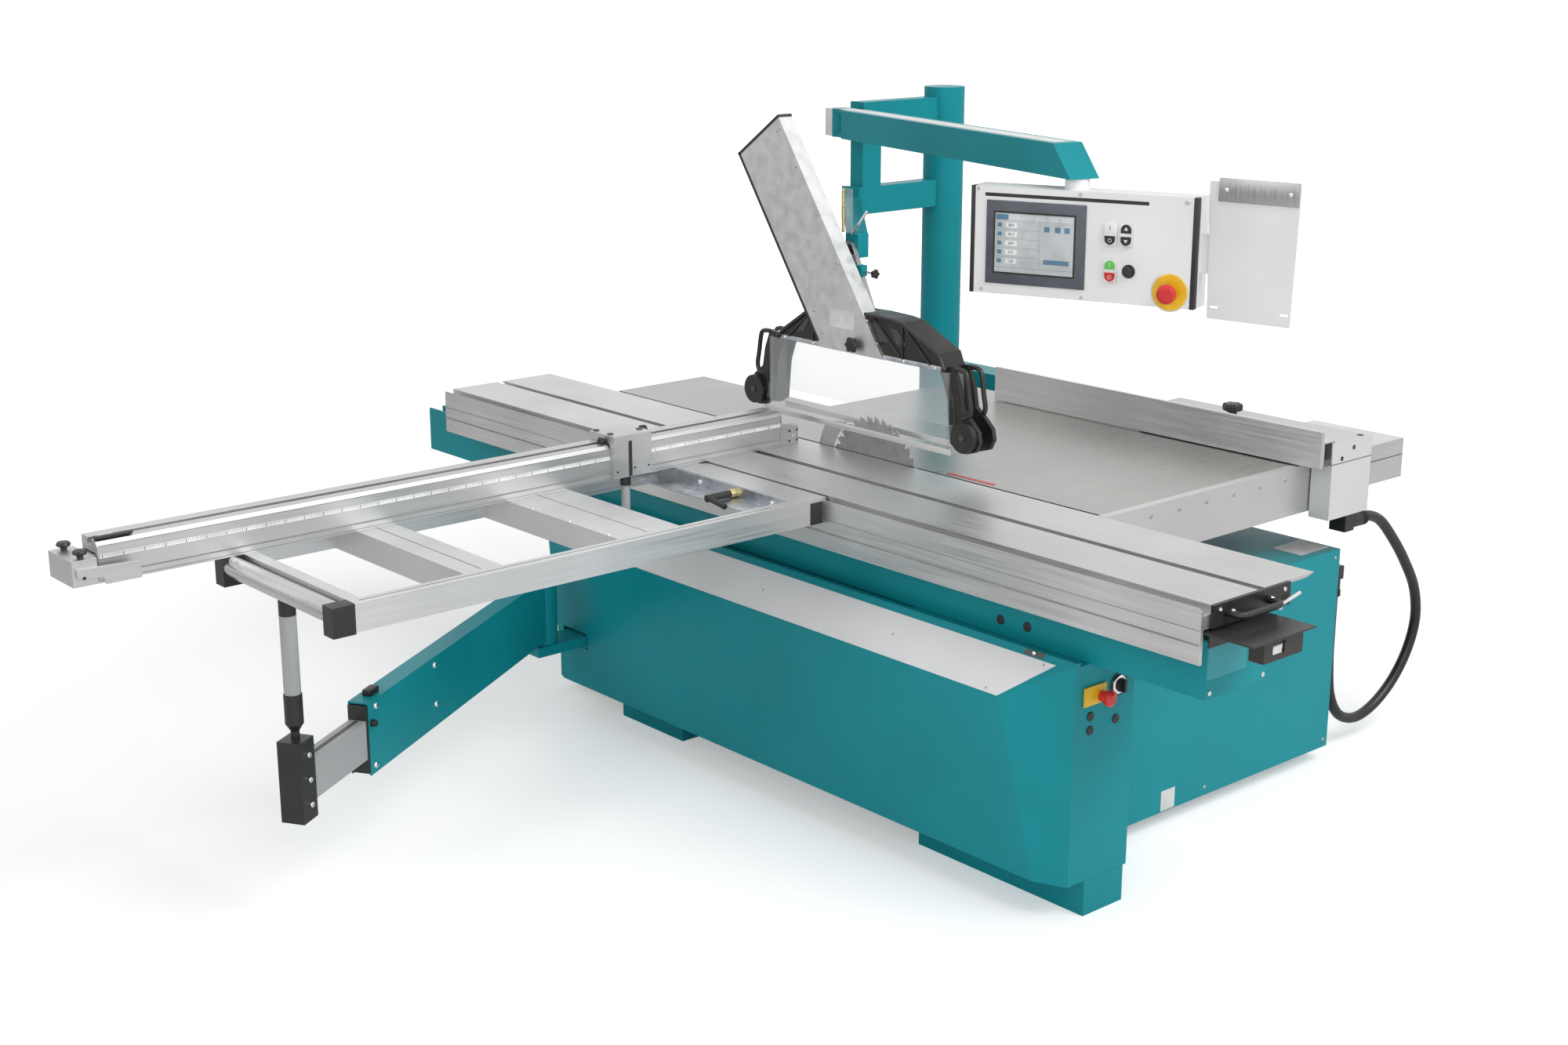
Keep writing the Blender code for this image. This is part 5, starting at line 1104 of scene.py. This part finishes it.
def tickTree():
    tree, given, result = newTree(
        "scaleTicks", "Ticks", Count="Int", Start="Vector", Step="Vector", Mark="Vector", Finish="Material"
    )
    row = addNode(
        tree,
        "GeometryNodeMeshLine",
        {
            "Count": given.outputs["Count"],
            "Start Location": given.outputs["Start"],
            "Offset": given.outputs["Step"],
        },
        mode="OFFSET",
    )
    mark = addNode(tree, "GeometryNodeMeshCube", {"Size": given.outputs["Mark"]})
    laid = addNode(
        tree, "GeometryNodeInstanceOnPoints", {"Points": row.outputs[0], "Instance": mark.outputs[0]}
    )
    real = addNode(tree, "GeometryNodeRealizeInstances", {"Geometry": laid.outputs[0]})
    return dressTree(tree, given, result, real.outputs[0])


ticking = tickTree()


def tickRow(name, start, step, count, mark, body, finish="printBlack"):
    first = tuple(machineFrame @ Vector(start))
    look = {"Count": count, "Start": first, "Step": step, "Mark": mark, "Finish": finishes[finish]}
    return growPiece(name, bpy.data.meshes.new(name), ticking, body, **look)


slabs(
    "fenceScale",
    [
        (
            (fenceSizes["left"], fenceSizes["face"] - 0.0010, fenceSizes["scaleLow"]),
            (fenceSizes["right"], fenceSizes["face"], fenceSizes["scaleHigh"]),
        )
    ],
    "tape",
    "crosscut",
)
tickRow("fenceTicks", (-2.100, 1.7189, 0.0628), (0.005, 0, 0), 399, (0.0006, 0.0004, 0.0050), "crosscut")
tickRow("fenceTens", (-2.100, 1.7188, 0.0610), (0.050, 0, 0), 40, (0.0014, 0.0004, 0.0086), "crosscut")
# grey lines along the fence face and beside its end block: painted shade of the ledges and grooves
slabs(
    "fenceLines",
    [
        (
            (fenceSizes["left"], fenceSizes["face"] - 0.0005, z),
            (fenceSizes["right"], fenceSizes["face"], z + deep),
        )
        for z, deep in ((0.0840, 0.0018), (0.0180, 0.0035), (0.0050, 0.0015))
    ]
    + [((-0.1064, fenceSizes["face"] - 0.0005, 0.0010), (-0.1050, fenceSizes["face"], 0.0970))],
    "grooveShade",
    "crosscut",
)
# black discs on the end block face in place of its holes: painted shade
seatHeads(
    "fenceEndHoles",
    [(x, fenceSizes["face"], z) for x in (-0.0715, -0.0430) for z in (0.0390, 0.0100)],
    (0, -1, 0),
    0.0034,
    0.0004,
    "crosscut",
    "holeShade",
    "printBlack",
)
boltSpot = (-0.0570, fenceSizes["face"], 0.0240)
seatHeads("fenceEndBolt", [boltSpot], (0, -1, 0), 0.0060, 0.0012, "crosscut", "flat")
slabs("fenceLatch", [((-2.1080, 1.7280, 0.0980), (-2.0200, 1.7440, 0.1035))], "black", "crosscut", 0.0015)
slabs("fenceInsert", [((-2.0900, 1.7500, 0.0980), (-2.0550, 1.7640, 0.0992))], "white", "crosscut", 0.0004)

stopSizes = {"face": 1.7017, "top": 0.120}
# black slab on the stop face in place of its slot: painted shade
slotSpot = ((-0.6530, 1.7010, 0.0080), (-0.6420, stopSizes["face"], 0.1030))
slabs("stopSlot", [slotSpot], "printBlack", "stop_flap")
# black discs on the stop face in place of its holes: painted shade
seatHeads(
    "stopHoles",
    [(x, stopSizes["face"], z) for x, z in ((-0.5870, 0.0280), (-0.6900, 0.0240), (-0.6330, 0.0280))],
    (0, -1, 0),
    0.0030,
    0.0004,
    "stop_flap",
    "holeShade",
    "printBlack",
)
dials(
    "stopDiscs",
    [(x, y, stopSizes["top"]) for x, y in ((-0.6870, 1.7980), (-0.6860, 1.7370), (-0.5900, 1.7370))],
    (0, 0, 1),
    0.0085,
    0.0030,
    "dark",
    "stop_slide",
)
lobedKnob("stopKnobLeft", (-0.7000, 1.7450, 0.1040), (-1, 0, 0), 0.0110, 0.0170, "stop_slide")
lobedKnob("stopKnobRight", (-0.5770, 1.7650, 0.1110), (1, 0, 0), 0.0110, 0.0300, "stop_slide")
endStopSizes = {"knobX": -2.1550, "knobY": (1.7950, 1.7080), "top": 0.0700}
mushroom = [(0, 0), (0.007, 0), (0.008, 0.007), (0.015, 0.010), (0.0165, 0.014), (0.013, 0.019), (0, 0.021)]
knobSpots = [(endStopSizes["knobX"], y, endStopSizes["top"]) for y in endStopSizes["knobY"]]
turned("endStopKnobs", mushroom, knobSpots, (0, 0, 1), "black", "extension", sides=24)
# black disc on the flap in place of its hole: painted shade
seatHeads(
    "endFlapHole",
    [(-2.1590, 1.6837, 0.0300)],
    (0, -1, 0),
    0.0040,
    0.0004,
    "extension_flap",
    "holeShade",
    "printBlack",
)
print("fence details made")


# Outrigger, support arm and post

outriggerSizes = {"webX": -0.4863, "webZ": -0.0190, "boltY": (1.3160, 1.6110, 1.7900)}
seatHeads(
    "clampBolts",
    [(outriggerSizes["webX"], y, outriggerSizes["webZ"]) for y in outriggerSizes["boltY"]],
    (-1, 0, 0),
    0.0062,
    0.0060,
    "slider",
    "hexagon",
)
dials("leverBush", [(-0.4866, 1.465, -0.020)], (-1, 0, 0), 0.0120, 0.0170, "brass", "slider")
slabs(
    "outriggerLines",
    [
        ((-1.740, 1.2330, 0.0), (-0.560, 1.2350, 0.0003)),
        ((-1.740, 1.8470, 0.0), (-0.560, 1.8490, 0.0003)),
        ((-1.4090, 1.2600, 0.0), (-1.4070, 1.8260, 0.0003)),
        ((-0.9340, 1.2600, 0.0), (-0.9320, 1.8260, 0.0003)),
    ],
    "shade",
    "slider",
)
seatHeads(
    "crossbarClips",
    [(-1.0180, 1.300 + 0.160 * n, 0.0) for n in range(4)],
    (0, 0, 1),
    0.0045,
    0.0020,
    "slider",
    "flat",
)

armSizes = {
    "side": 0.0275,
    "mouth": 1.1305,
    "top": -0.430,
    "low": -0.620,
    "screws": ((1.092, -0.449), (1.106, -0.600), (0.765, -0.452), (0.765, -0.560)),
}
seatHeads(
    "armScrews",
    [(x, armSizes["side"], z) for x, z in armSizes["screws"]],
    (0, 1, 0),
    0.0085,
    0.0060,
    "support_arm",
    "dome",
    "chrome",
    armFrame,
)
slabs(
    "armMouth",
    [
        (
            (armSizes["mouth"] - 0.001, -0.0262, armSizes["low"] + 0.006),
            (armSizes["mouth"] + 0.006, 0.0262, armSizes["top"] - 0.006),
        )
    ],
    "black",
    "support_arm",
    0.0015,
    armFrame,
)
slabs(
    "armLatch",
    [((1.040, -0.012, armSizes["top"]), (1.085, 0.012, armSizes["top"] + 0.016))],
    "black",
    "support_arm",
    0.0020,
    armFrame,
)

postSizes = {
    "reach": 1.4305,
    "radius": 0.0200,
    "low": -0.302,
    "high": -0.110,
    "blockSide": 0.0310,
    "screwZ": (-0.450, -0.512, -0.574),
}
rods(
    "postSleeve",
    [((postSizes["reach"], 0, postSizes["low"]), (postSizes["reach"], 0, postSizes["high"]))],
    postSizes["radius"],
    "silver",
    "support_beam_end",
    armFrame,
    sides=32,
    rounding=0.0008,
)
seatHeads(
    "postScrews",
    [(postSizes["reach"], postSizes["blockSide"], z) for z in postSizes["screwZ"]],
    (0, 1, 0),
    0.0070,
    0.0050,
    "support_beam_end",
    "socket",
    "chrome",
    armFrame,
)
plugSpot = (1.116, armSizes["side"], -0.485)
beamSlot = ((1.140, -0.0060, -0.4750), (1.392, 0.0060, -0.4744))
dials("armPlug", [plugSpot], (0, 1, 0), 0.0090, 0.0140, "black", "support_arm", armFrame)
slabs("beamSlot", [beamSlot], "shade", "support_beam_end", 0, armFrame)
slabs("frameCap", [((-0.4410, 1.2165, -0.0665), (-0.4000, 1.2510, -0.0080))], "black", "slider", 0.0015)
fencePin = {"x": -0.640, "y": 1.736}
for title, low, high, radius, finishName in (
    ("pinCollar", -0.0245, 0.0025, 0.0146, "black"),
    ("pinTail", -0.1252, -0.0240, 0.0119, "print"),
):
    ends = ((fencePin["x"], fencePin["y"], low), (fencePin["x"], fencePin["y"], high))
    rods(title, [ends], radius, finishName, "crosscut", sides=28, rounding=0.001)
print("outrigger and arm details made")

# Control panel: face, screen and buttons

panelSizes = {
    "front": -0.0500,
    "left": -0.2740,
    "low": 0.477,
    "high": 0.758,
    "width": 0.616,
    "screws": (
        (0.0200, 0.751), (0.303, 0.750), (0.586, 0.746), (0.034, 0.488), (0.315, 0.485), (0.590, 0.745)
    ),
}


def onPanel(s, z, lift=0.0):
    return Vector((s + panelSizes["left"], panelSizes["front"] - lift, z))


def panelSlab(name, patches, finish, thick=0.0006, under=0.0, rounding=0.0, body="panel"):
    corners = []
    for left, right, low, high in patches:
        first, last = onPanel(left, low, under + thick), onPanel(right, high, under)
        corners.append(((first.x, first.y, low), (last.x, last.y, high)))
    return slabs(name, corners, finish, body, rounding, panelFrame)


slabs(
    "panelEdges",
    [
        (
            (onPanel(first, 0).x, panelSizes["front"] - 0.0014, panelSizes["low"] - 0.0005),
            (onPanel(last, 0).x, panelSizes["front"] + 0.0200, panelSizes["high"] + 0.0005),
        )
        for first, last in ((-0.0010, 0.0115), (panelSizes["width"] - 0.0120, panelSizes["width"] + 0.0005))
    ],
    "black",
    "panel",
    0.0015,
    panelFrame,
)
panelSlab("screenBezel", [(0.045, 0.322, 0.505, 0.723)], "bezel", 0.0040, 0, 0.0012)
panelSlab("screenRim", [(0.066, 0.295, 0.532, 0.696)], "printBlack", 0.0006, 0.0040)
panelSlab("screenGlass", [(0.071, 0.290, 0.537, 0.691)], "glass", 0.0008, 0.0040)
screen = {
    "left": 0.0730,
    "right": 0.2880,
    "high": 0.6890,
    "tabs": 6,
    "rows": 5,
    "rowHeight": 0.0235,
    "ink": 0.0048,
}
tabWidth = (screen["right"] - screen["left"]) / screen["tabs"]
rowHeight = screen["rowHeight"]
inkLift = screen["ink"]
tabTop, tabLow = screen["high"] - 0.001, screen["high"] - 0.0150
firstTab = (screen["left"], screen["left"] + tabWidth - 0.0015, tabLow, tabTop)
panelSlab("screenTabFirst", [firstTab], "screenBlue", 0.0003, inkLift)
panelSlab(
    "screenTabs",
    [
        (screen["left"] + n * tabWidth, screen["left"] + (n + 1) * tabWidth - 0.0015, tabLow, tabTop)
        for n in range(1, screen["tabs"])
    ],
    "screenSoft",
    0.0003,
    inkLift,
)
rowTops = [tabLow - 0.0040 - n * rowHeight for n in range(screen["rows"])]
panelSlab(
    "screenBoxes", [(0.1000, 0.1330, top - 0.0165, top - 0.0030) for top in rowTops], "white", 0.0003, inkLift
)
panelSlab(
    "screenLines",
    [(0.1960, 0.1966, 0.5500, tabLow)]
    + [(0.0740, 0.1950, top - rowHeight + 0.0018, top - rowHeight + 0.0023) for top in rowTops[:-1]]
    + [(screen["left"], screen["right"], 0.5495, 0.5500)],
    "print",
    0.0003,
    inkLift,
)
panelSlab(
    "screenIcons",
    [(0.0780, 0.0900, top - 0.0150, top - 0.0045) for top in rowTops]
    + [(0.2080, 0.2230, 0.6480, 0.6620), (0.2380, 0.2530, 0.6480, 0.6620), (0.2640, 0.2790, 0.6480, 0.6620)]
    + [(0.2080, 0.2790, 0.5640, 0.5760)],
    "screenBlue",
    0.0003,
    inkLift,
)


def panelWords(name, words, finish, body="panel"):
    # words: (text, s, z, height, lift)
    bm = bmesh.new()
    for text, s, z, height, lift in words:
        curve = bpy.data.curves.new(name, "FONT")
        curve.body = text
        curve.size = height
        curve.align_x = "CENTER"
        curve.align_y = "CENTER"
        curve.extrude = 0.00012
        curve.resolution_u = 2
        holder = newObject(name, curve)
        flat = bpy.data.meshes.new_from_object(holder.evaluated_get(bpy.context.evaluated_depsgraph_get()))
        spot = onPanel(s, z, lift)
        flat.transform(Matrix.Translation(spot) @ Matrix.Rotation(math.pi / 2, 4, "X"))
        bm.from_mesh(flat)
        bpy.data.objects.remove(holder)
        bpy.data.curves.remove(curve)
        bpy.data.meshes.remove(flat)
    bmesh.ops.remove_doubles(bm, verts=bm.verts, dist=0.000002)
    return makePiece(name, bm, finish, body, panelFrame)


rowNumbers = ("850", "45.0", "600", "0.0", "120")
panelWords(
    "screenNumbers",
    [(text, 0.1165, top - 0.0098, 0.0105, 0.0052) for text, top in zip(rowNumbers, rowTops)],
    "printBlack",
)
panelSlab("panelStripe", [(0.039, 0.487, 0.7325, 0.7415)], "printBlack", 0.0004)
seatHeads(
    "panelScrews",
    [onPanel(s, z) for s, z in panelSizes["screws"]],
    (0, -1, 0),
    0.0050,
    0.0014,
    "panel",
    "flat",
    "chrome",
    panelFrame,
)
buttonSizes = {"halfWidth": 0.0140, "halfHeight": 0.0270, "front": 0.0080}
buttons = {
    "Start": ("button_start", 0.389, 0.655, "white", "black"),
    "Fence": ("button_fence", 0.432, 0.655, "black", "black"),
    "Blade": ("button_blade", 0.392, 0.561, "green", "red"),
}
signLift = 0.0090


def capShape(s, z, halfWide, halfHigh, gap=0.0, sides=12):
    # the upper half of a long round-ended cap, or the lower with halfHigh below zero
    way = 1 if halfHigh > 0 else -1
    middle = halfHigh - way * halfWide
    turns = [math.pi * n / sides for n in range(sides + 1)]
    arc = [(s + halfWide * math.cos(t), z + middle + way * halfWide * math.sin(t)) for t in turns]
    return [(s - halfWide, z + way * gap), (s + halfWide, z + way * gap)] + arc


def panelSign(name, shapes, finish, body):
    # shapes: outlines of (s, z) points
    outlines = [[onPanel(s, z, signLift) for s, z in shape] for shape in shapes]
    return plates(name, outlines, (0, -0.0003, 0), finish, body, panelFrame)


def roundShape(s, z, radius, sides=20):
    turns = [math.tau * n / sides for n in range(sides)]
    return [(s + radius * math.cos(t), z + radius * math.sin(t)) for t in turns]


def ringSign(name, s, z, outer, inner, finish, body):
    bm = bmesh.new()
    out, inn = roundShape(s, z, outer), roundShape(s, z, inner)
    for index in range(len(out)):
        after = (index + 1) % len(out)
        quad = [out[index], out[after], inn[after], inn[index]]
        addPlate(bm, [onPanel(a, b, signLift) for a, b in quad], (0, -0.0003, 0))
    bmesh.ops.remove_doubles(bm, verts=bm.verts, dist=0.000001)
    return makePiece(name, bm, finish, body, panelFrame)


def barShape(s, z, halfWide, halfHigh):
    corners = ((-1, -1), (1, -1), (1, 1), (-1, 1))
    return [(s + across * halfWide, z + up * halfHigh) for across, up in corners]


def addLifted(bm, shape, lift, thick):
    addPlate(bm, [onPanel(s, z, lift) for s, z in shape], (0, -thick, 0))


bm = bmesh.new()
for body, s, z, upper, lower in buttons.values():
    for half in (0.0345, -0.0345):
        addLifted(bm, capShape(s, z, 0.0185, half), 0, 0.0026)
makePiece("buttonFrames", bm, "sticker", "panel", panelFrame)
for title, (body, s, z, upper, lower) in buttons.items():
    w, h, lift = buttonSizes["halfWidth"], buttonSizes["halfHeight"], buttonSizes["front"]
    for part, finish, half in (("Upper", upper, h), ("Lower", lower, -h)):
        bm = bmesh.new()
        addLifted(bm, capShape(s, z, w, half, 0.0045), lift, 0.0010)
        makePiece("cap" + title + part, bm, finish, body, panelFrame)


panelSign("signStartLine", [barShape(0.389, 0.6710, 0.0008, 0.0055)], "printBlack", "button_start")
ringSign("signStartRing", 0.389, 0.6390, 0.0052, 0.0038, "white", "button_start")
panelSign(
    "signArrows",
    [
        [(0.4265, 0.6670), (0.4375, 0.6670), (0.4320, 0.6760)],
        [(0.4265, 0.6430), (0.4320, 0.6340), (0.4375, 0.6430)],
    ],
    "white",
    "button_fence",
)
panelSign("signBladeLine", [barShape(0.392, 0.5770, 0.0008, 0.0055)], "white", "button_blade")
ringSign("signBladeRing", 0.392, 0.5450, 0.0052, 0.0038, "white", "button_blade")
selectorSizes = {"s": 0.440, "z": 0.562, "ring": 0.0175}
dials(
    "selectorRing",
    [onPanel(selectorSizes["s"], selectorSizes["z"])],
    (0, -1, 0),
    selectorSizes["ring"],
    0.0030,
    "black",
    "panel",
    panelFrame,
)
stopDial = {"s": 0.552, "z": 0.5170, "yellow": 0.0465, "plate": 0.0510}
dials(
    "stopBack",
    [onPanel(stopDial["s"], stopDial["z"])],
    (0, -1, 0),
    stopDial["plate"],
    0.0014,
    "sticker",
    "panel",
    panelFrame,
)
dials(
    "stopDisc",
    [onPanel(stopDial["s"], stopDial["z"], 0.0014)],
    (0, -1, 0),
    stopDial["yellow"],
    0.0022,
    "yellow",
    "panel",
    panelFrame,
)
holderClip = ((0.0280, -0.0090, 0.752), (0.2460, 0.0010, 0.8100))
slabs("holderClip", [holderClip], "steel", "panel", 0.0012, holderFrame)
seatHeads(
    "holderClipScrews",
    [(0.0500, -0.0090, 0.781), (0.2240, -0.0090, 0.781)],
    (0, -1, 0),
    0.0060,
    0.0025,
    "panel",
    "dome",
    "chrome",
    holderFrame,
)
panelArm = {
    "hingeEnd": ((-0.0560, -0.0330, 0.7870), (-0.0080, 0.0330, 0.8710)),
    "topSkin": ((0.0200, -0.0270, 0.8720), (1.2400, 0.0270, 0.8724)),
}
slabs("armHingeEnd", [panelArm["hingeEnd"]], "strip", "panel_boom", 0.0015, boomFrame)
slabs("armTopSkin", [panelArm["topSkin"]], "strip", "panel_boom", 0, boomFrame)
print("control panel made")


# Guard: duct, hood, shield and link

ductSizes = {
    "near": (1.375, 0.2905),
    "along": (0.5678, 0.8231),
    "length": 0.755,
    "width": 0.205,
    "left": -0.042,
    "edging": 0.008,
    "rivets": ((1.438, 0.387), (1.399, 0.330), (1.651, 0.390), (1.614, 0.332), (1.806, 0.870)),
}


def onDuct(along, across, x):
    a, b = ductSizes["along"]
    y = ductSizes["near"][0] + a * along + b * across
    z = ductSizes["near"][1] + b * along - a * across
    return Vector((x, y, z))


ductOutlines = []
ductEnd, ductSide = ductSizes["length"] + 0.002, ductSizes["width"] + 0.002
for alongLow, acrossLow in ((ductEnd - ductSizes["edging"], -0.002), (0.160, ductSide - ductSizes["edging"])):
    corners = ((alongLow, acrossLow), (ductEnd, acrossLow), (ductEnd, ductSide), (alongLow, ductSide))
    ductOutlines.append([onDuct(along, across, ductSizes["left"] - 0.0010) for along, across in corners])
plates("ductEdging", ductOutlines, (0.0500, 0, 0), "black", "guard")
guardSide = (-1, 0, 0)
seatHeads(
    "ductRivets",
    [(ductSizes["left"], y, z) for y, z in ductSizes["rivets"]]
    + [tuple(onDuct(along, 0.012, ductSizes["left"])) for along in (0.30, 0.45, 0.60, 0.72)],
    guardSide,
    0.0048,
    0.0026,
    "guard",
    "dome",
    "steel",
)
hoodSizes = {"left": -0.0300, "right": 0.0450, "rim": 0.0055}
hoodRim = [
    (1.152, 0.2940),
    (1.172, 0.3320),
    (1.310, 0.3950),
    (1.350, 0.4000),
    (1.438, 0.4030),
    (1.600, 0.3990),
    (1.672, 0.3920),
    (1.792, 0.3150),
    (1.814, 0.2940),
]
hoodRibs = [
    ((1.205, 0.3000), (1.302, 0.3850)),
    ((1.310, 0.3000), (1.310, 0.3900)),
    ((1.318, 0.3050), (1.420, 0.3950)),
    ((1.560, 0.3950), (1.655, 0.3050)),
    ((1.665, 0.3000), (1.665, 0.3860)),
    ((1.673, 0.3850), (1.770, 0.3000)),
]
bm = bmesh.new()
rimX = hoodSizes["left"] - 0.0030
addTube(bm, [(rimX, y, z) for y, z in hoodRim], hoodSizes["rim"], 10)
for start, end in hoodRibs:
    addTube(bm, [(rimX + 0.001, y, z) for y, z in (start, end)], 0.0032, 8)
makePiece("hoodRim", bm, "guardBlack", "guard")
windows = (
    ((1.3620, 0.3800), (1.3300, 0.3760), (1.2950, 0.3360), (1.3320, 0.3360)),
    ((1.4240, 0.3860), (1.3960, 0.3850), (1.3640, 0.3360), (1.4000, 0.3360)),
    ((1.6760, 0.3740), (1.7000, 0.3600), (1.7350, 0.3200), (1.7050, 0.3200)),
)
windowOutlines = [[(hoodSizes["left"] - 0.0002, y, z) for y, z in window] for window in windows]
plates("hoodWindows", windowOutlines, (-0.0012, 0, 0), "dark", "guard")
slabs(
    "hoodStrips",
    [
        ((hoodSizes["left"] - 0.0018, 1.165, 0.2886), (hoodSizes["left"], 1.805, 0.3010)),
        ((hoodSizes["right"], 1.165, 0.2886), (hoodSizes["right"] + 0.0016, 1.805, 0.3010)),
    ],
    "zinc",
    "guard",
    0.0004,
)
seatHeads(
    "stripHeads",
    [(-0.0318, 1.185 + 0.120 * n, 0.2948) for n in range(6)],
    guardSide,
    0.0042,
    0.0024,
    "guard",
    "dome",
    "chrome",
)
lobedKnob("hoodKnob", (ductSizes["left"], 1.481, 0.3180), guardSide, 0.0220, 0.0240, "guard")
stickerSpot = ((ductSizes["left"] - 0.0006, 1.487, 0.3540), (ductSizes["left"], 1.585, 0.4040))
slabs("ductSticker", [stickerSpot], "sticker", "guard")
slabs(
    "shieldRails",
    [
        ((-0.0352, 1.120, 0.0700), (-0.0332, 1.870, 0.0860)),
        ((0.0432, 1.120, 0.0700), (0.0452, 1.870, 0.0860)),
    ],
    "alongY",
    "guard",
    0.0005,
)
guardArm = {
    "outline": [
        (1.188, 0.296),
        (1.128, 0.304),
        (1.106, 0.250),
        (1.096, 0.196),
        (1.062, 0.170),
        (1.036, 0.146),
        (1.030, 0.118),
        (1.044, 0.090),
        (1.076, 0.080),
        (1.112, 0.084),
        (1.136, 0.100),
        (1.141, 0.150),
        (1.148, 0.213),
        (1.166, 0.262),
    ],
    "loop": [
        (1.126, 0.299),
        (1.097, 0.297),
        (1.084, 0.284),
        (1.075, 0.235),
        (1.068, 0.196),
        (1.078, 0.176),
        (1.098, 0.170),
    ],
    "rib": [(1.158, 0.285), (1.128, 0.215), (1.118, 0.150), (1.108, 0.105)],
    "wheel": (1.0760, 0.1260),
    "far": 2.990,
    "left": -0.0216,
    "thick": 0.0130,
}
wheelY, wheelZ = guardArm["wheel"]
bm = bmesh.new()
for mirrored in (False, True):
    flip = (lambda y: guardArm["far"] - y) if mirrored else (lambda y: y)
    outline = [(guardArm["left"], flip(y), z) for y, z in guardArm["outline"]]
    addPlate(bm, outline, (guardArm["thick"], 0, 0))
    addPlate(bm, [(x + 0.0530, y, z) for x, y, z in outline], (guardArm["thick"], 0, 0))
    for x in (guardArm["left"] + 0.0050, guardArm["left"] + 0.0600):
        addTube(bm, smoothPath([(x, flip(y), z) for y, z in guardArm["loop"]], 5), 0.0066, 12)
    addTube(bm, smoothPath([(guardArm["left"], flip(y), z) for y, z in guardArm["rib"]], 5), 0.0038, 10)
    addRod(bm, (guardArm["left"], flip(wheelY), wheelZ), (0.0440, flip(wheelY), wheelZ), 0.0070)
makePiece("guardArms", bm, "guardBlack", "guard")
for title, hubY in (("near", wheelY), ("far", guardArm["far"] - wheelY)):
    dials(
        title + "WheelHub", [(-0.0400, hubY, wheelZ)], guardSide, 0.0090, 0.0040, "dark", "wheel_" + title
    )
lobedKnob("linkKnobHigh", (0.0453, 1.6080, 0.5560), guardSide, 0.0180, 0.0240, "guard_arm", lobes=5)
dials("linkPin", [(0.0453, 1.5060, 0.3490)], guardSide, 0.0090, 0.0080, "chrome", "guard_arm")
slabs("linkBracket", [((0.0400, 1.5500, 0.4860), (0.0640, 1.5760, 0.5160))], "teal", "guard_arm", 0.0015)
rods("linkStud", [((0.0520, 1.5520, 0.5000), (0.0520, 1.5160, 0.4970))], 0.0030, "chrome", "guard_arm")
lobedKnob("linkKnob", (0.0520, 1.5180, 0.4970), (0, -1, 0), 0.0135, 0.0180, "guard_arm", lobes=5)
rods("boomPin", [((0.0480, 1.6320, 0.6000), (0.0480, 1.6320, 0.7200))], 0.0040, "brass", "machine_base")
rods("boomRod", [((0.0520, 1.6000, 0.5960), (0.0520, 1.5420, 0.6640))], 0.0036, "chrome", "machine_base")
slabs("boomSheet", [((0.0540, 1.6020, 0.6000), (0.0560, 1.6820, 0.7200))], "clear", "machine_base")
print("guard made")

# Rip carriage, its knob and the hose collars

carriageSizes = {"left": 0.855, "right": 1.038, "near": 0.549, "far": 1.217, "top": 0.061, "seam": 0.006}
dials(
    "carriageCaps",
    [(0.887, 0.578, carriageSizes["top"]), (1.019, 0.576, carriageSizes["top"])],
    (0, 0, 1),
    0.0095,
    0.0012,
    "black",
    "rip",
)
seamLeft, seamRight = carriageSizes["left"] - 0.0004, carriageSizes["right"] + 0.0004
seamLow, seamHigh = carriageSizes["seam"] - 0.0010, carriageSizes["seam"] + 0.0012
slabs(
    "carriageSeam",
    [
        ((seamLeft, carriageSizes["near"] - 0.0004, seamLow), (seamRight, carriageSizes["near"], seamHigh)),
        ((seamLeft, carriageSizes["near"], seamLow), (carriageSizes["left"], carriageSizes["far"], seamHigh)),
    ],
    "shade",
    "rip",
)
# black discs on the carriage's near face in place of its recesses: painted shade
seatHeads(
    "carriageHoles",
    [(0.9530, carriageSizes["near"], 0.0420), (0.9000, carriageSizes["near"], 0.0180)],
    (0, -1, 0),
    0.0065,
    0.0006,
    "rip",
    "holeShade",
    "printBlack",
)
lobedKnob("ripStar", (0.9465, 0.9560, 0.0660), (0, 0, 1), 0.0290, 0.0340, "rip_clamp_knob")
slabs("ripFenceEnd", [((0.8180, 0.5484, 0.0080), (0.8500, 0.5490, 0.0260))], "shade", "rip_plate")
glandRib = [(0.0152, 0), (0.0205, 0.001), (0.0205, 0.0038), (0.0152, 0.0048)]
glandSpots = [(1.0510 + 0.0058 * n, 0.583, -0.185) for n in range(4)]
turned("glandRibs", glandRib, glandSpots, (1, 0, 0), "rubber", "rip")
elbowRib = [(0.0152, 0), (0.0215, 0.001), (0.0215, 0.0046), (0.0152, 0.0056)]
elbowSpots = [(1.038, 0.640, -0.4010 - 0.0066 * (n + 1)) for n in range(3)]
turned("elbowRibs", elbowRib, elbowSpots, (0, 0, 1), "rubber", "machine_base")
seatHeads(
    "columnBolts",
    [(0.6597, y, z) for y in (2.222, 2.278) for z in (0.560, 0.605)],
    (-1, 0, 0),
    0.0070,
    0.0060,
    "machine_base",
    "hexagon",
)
print("rip carriage and column details made")
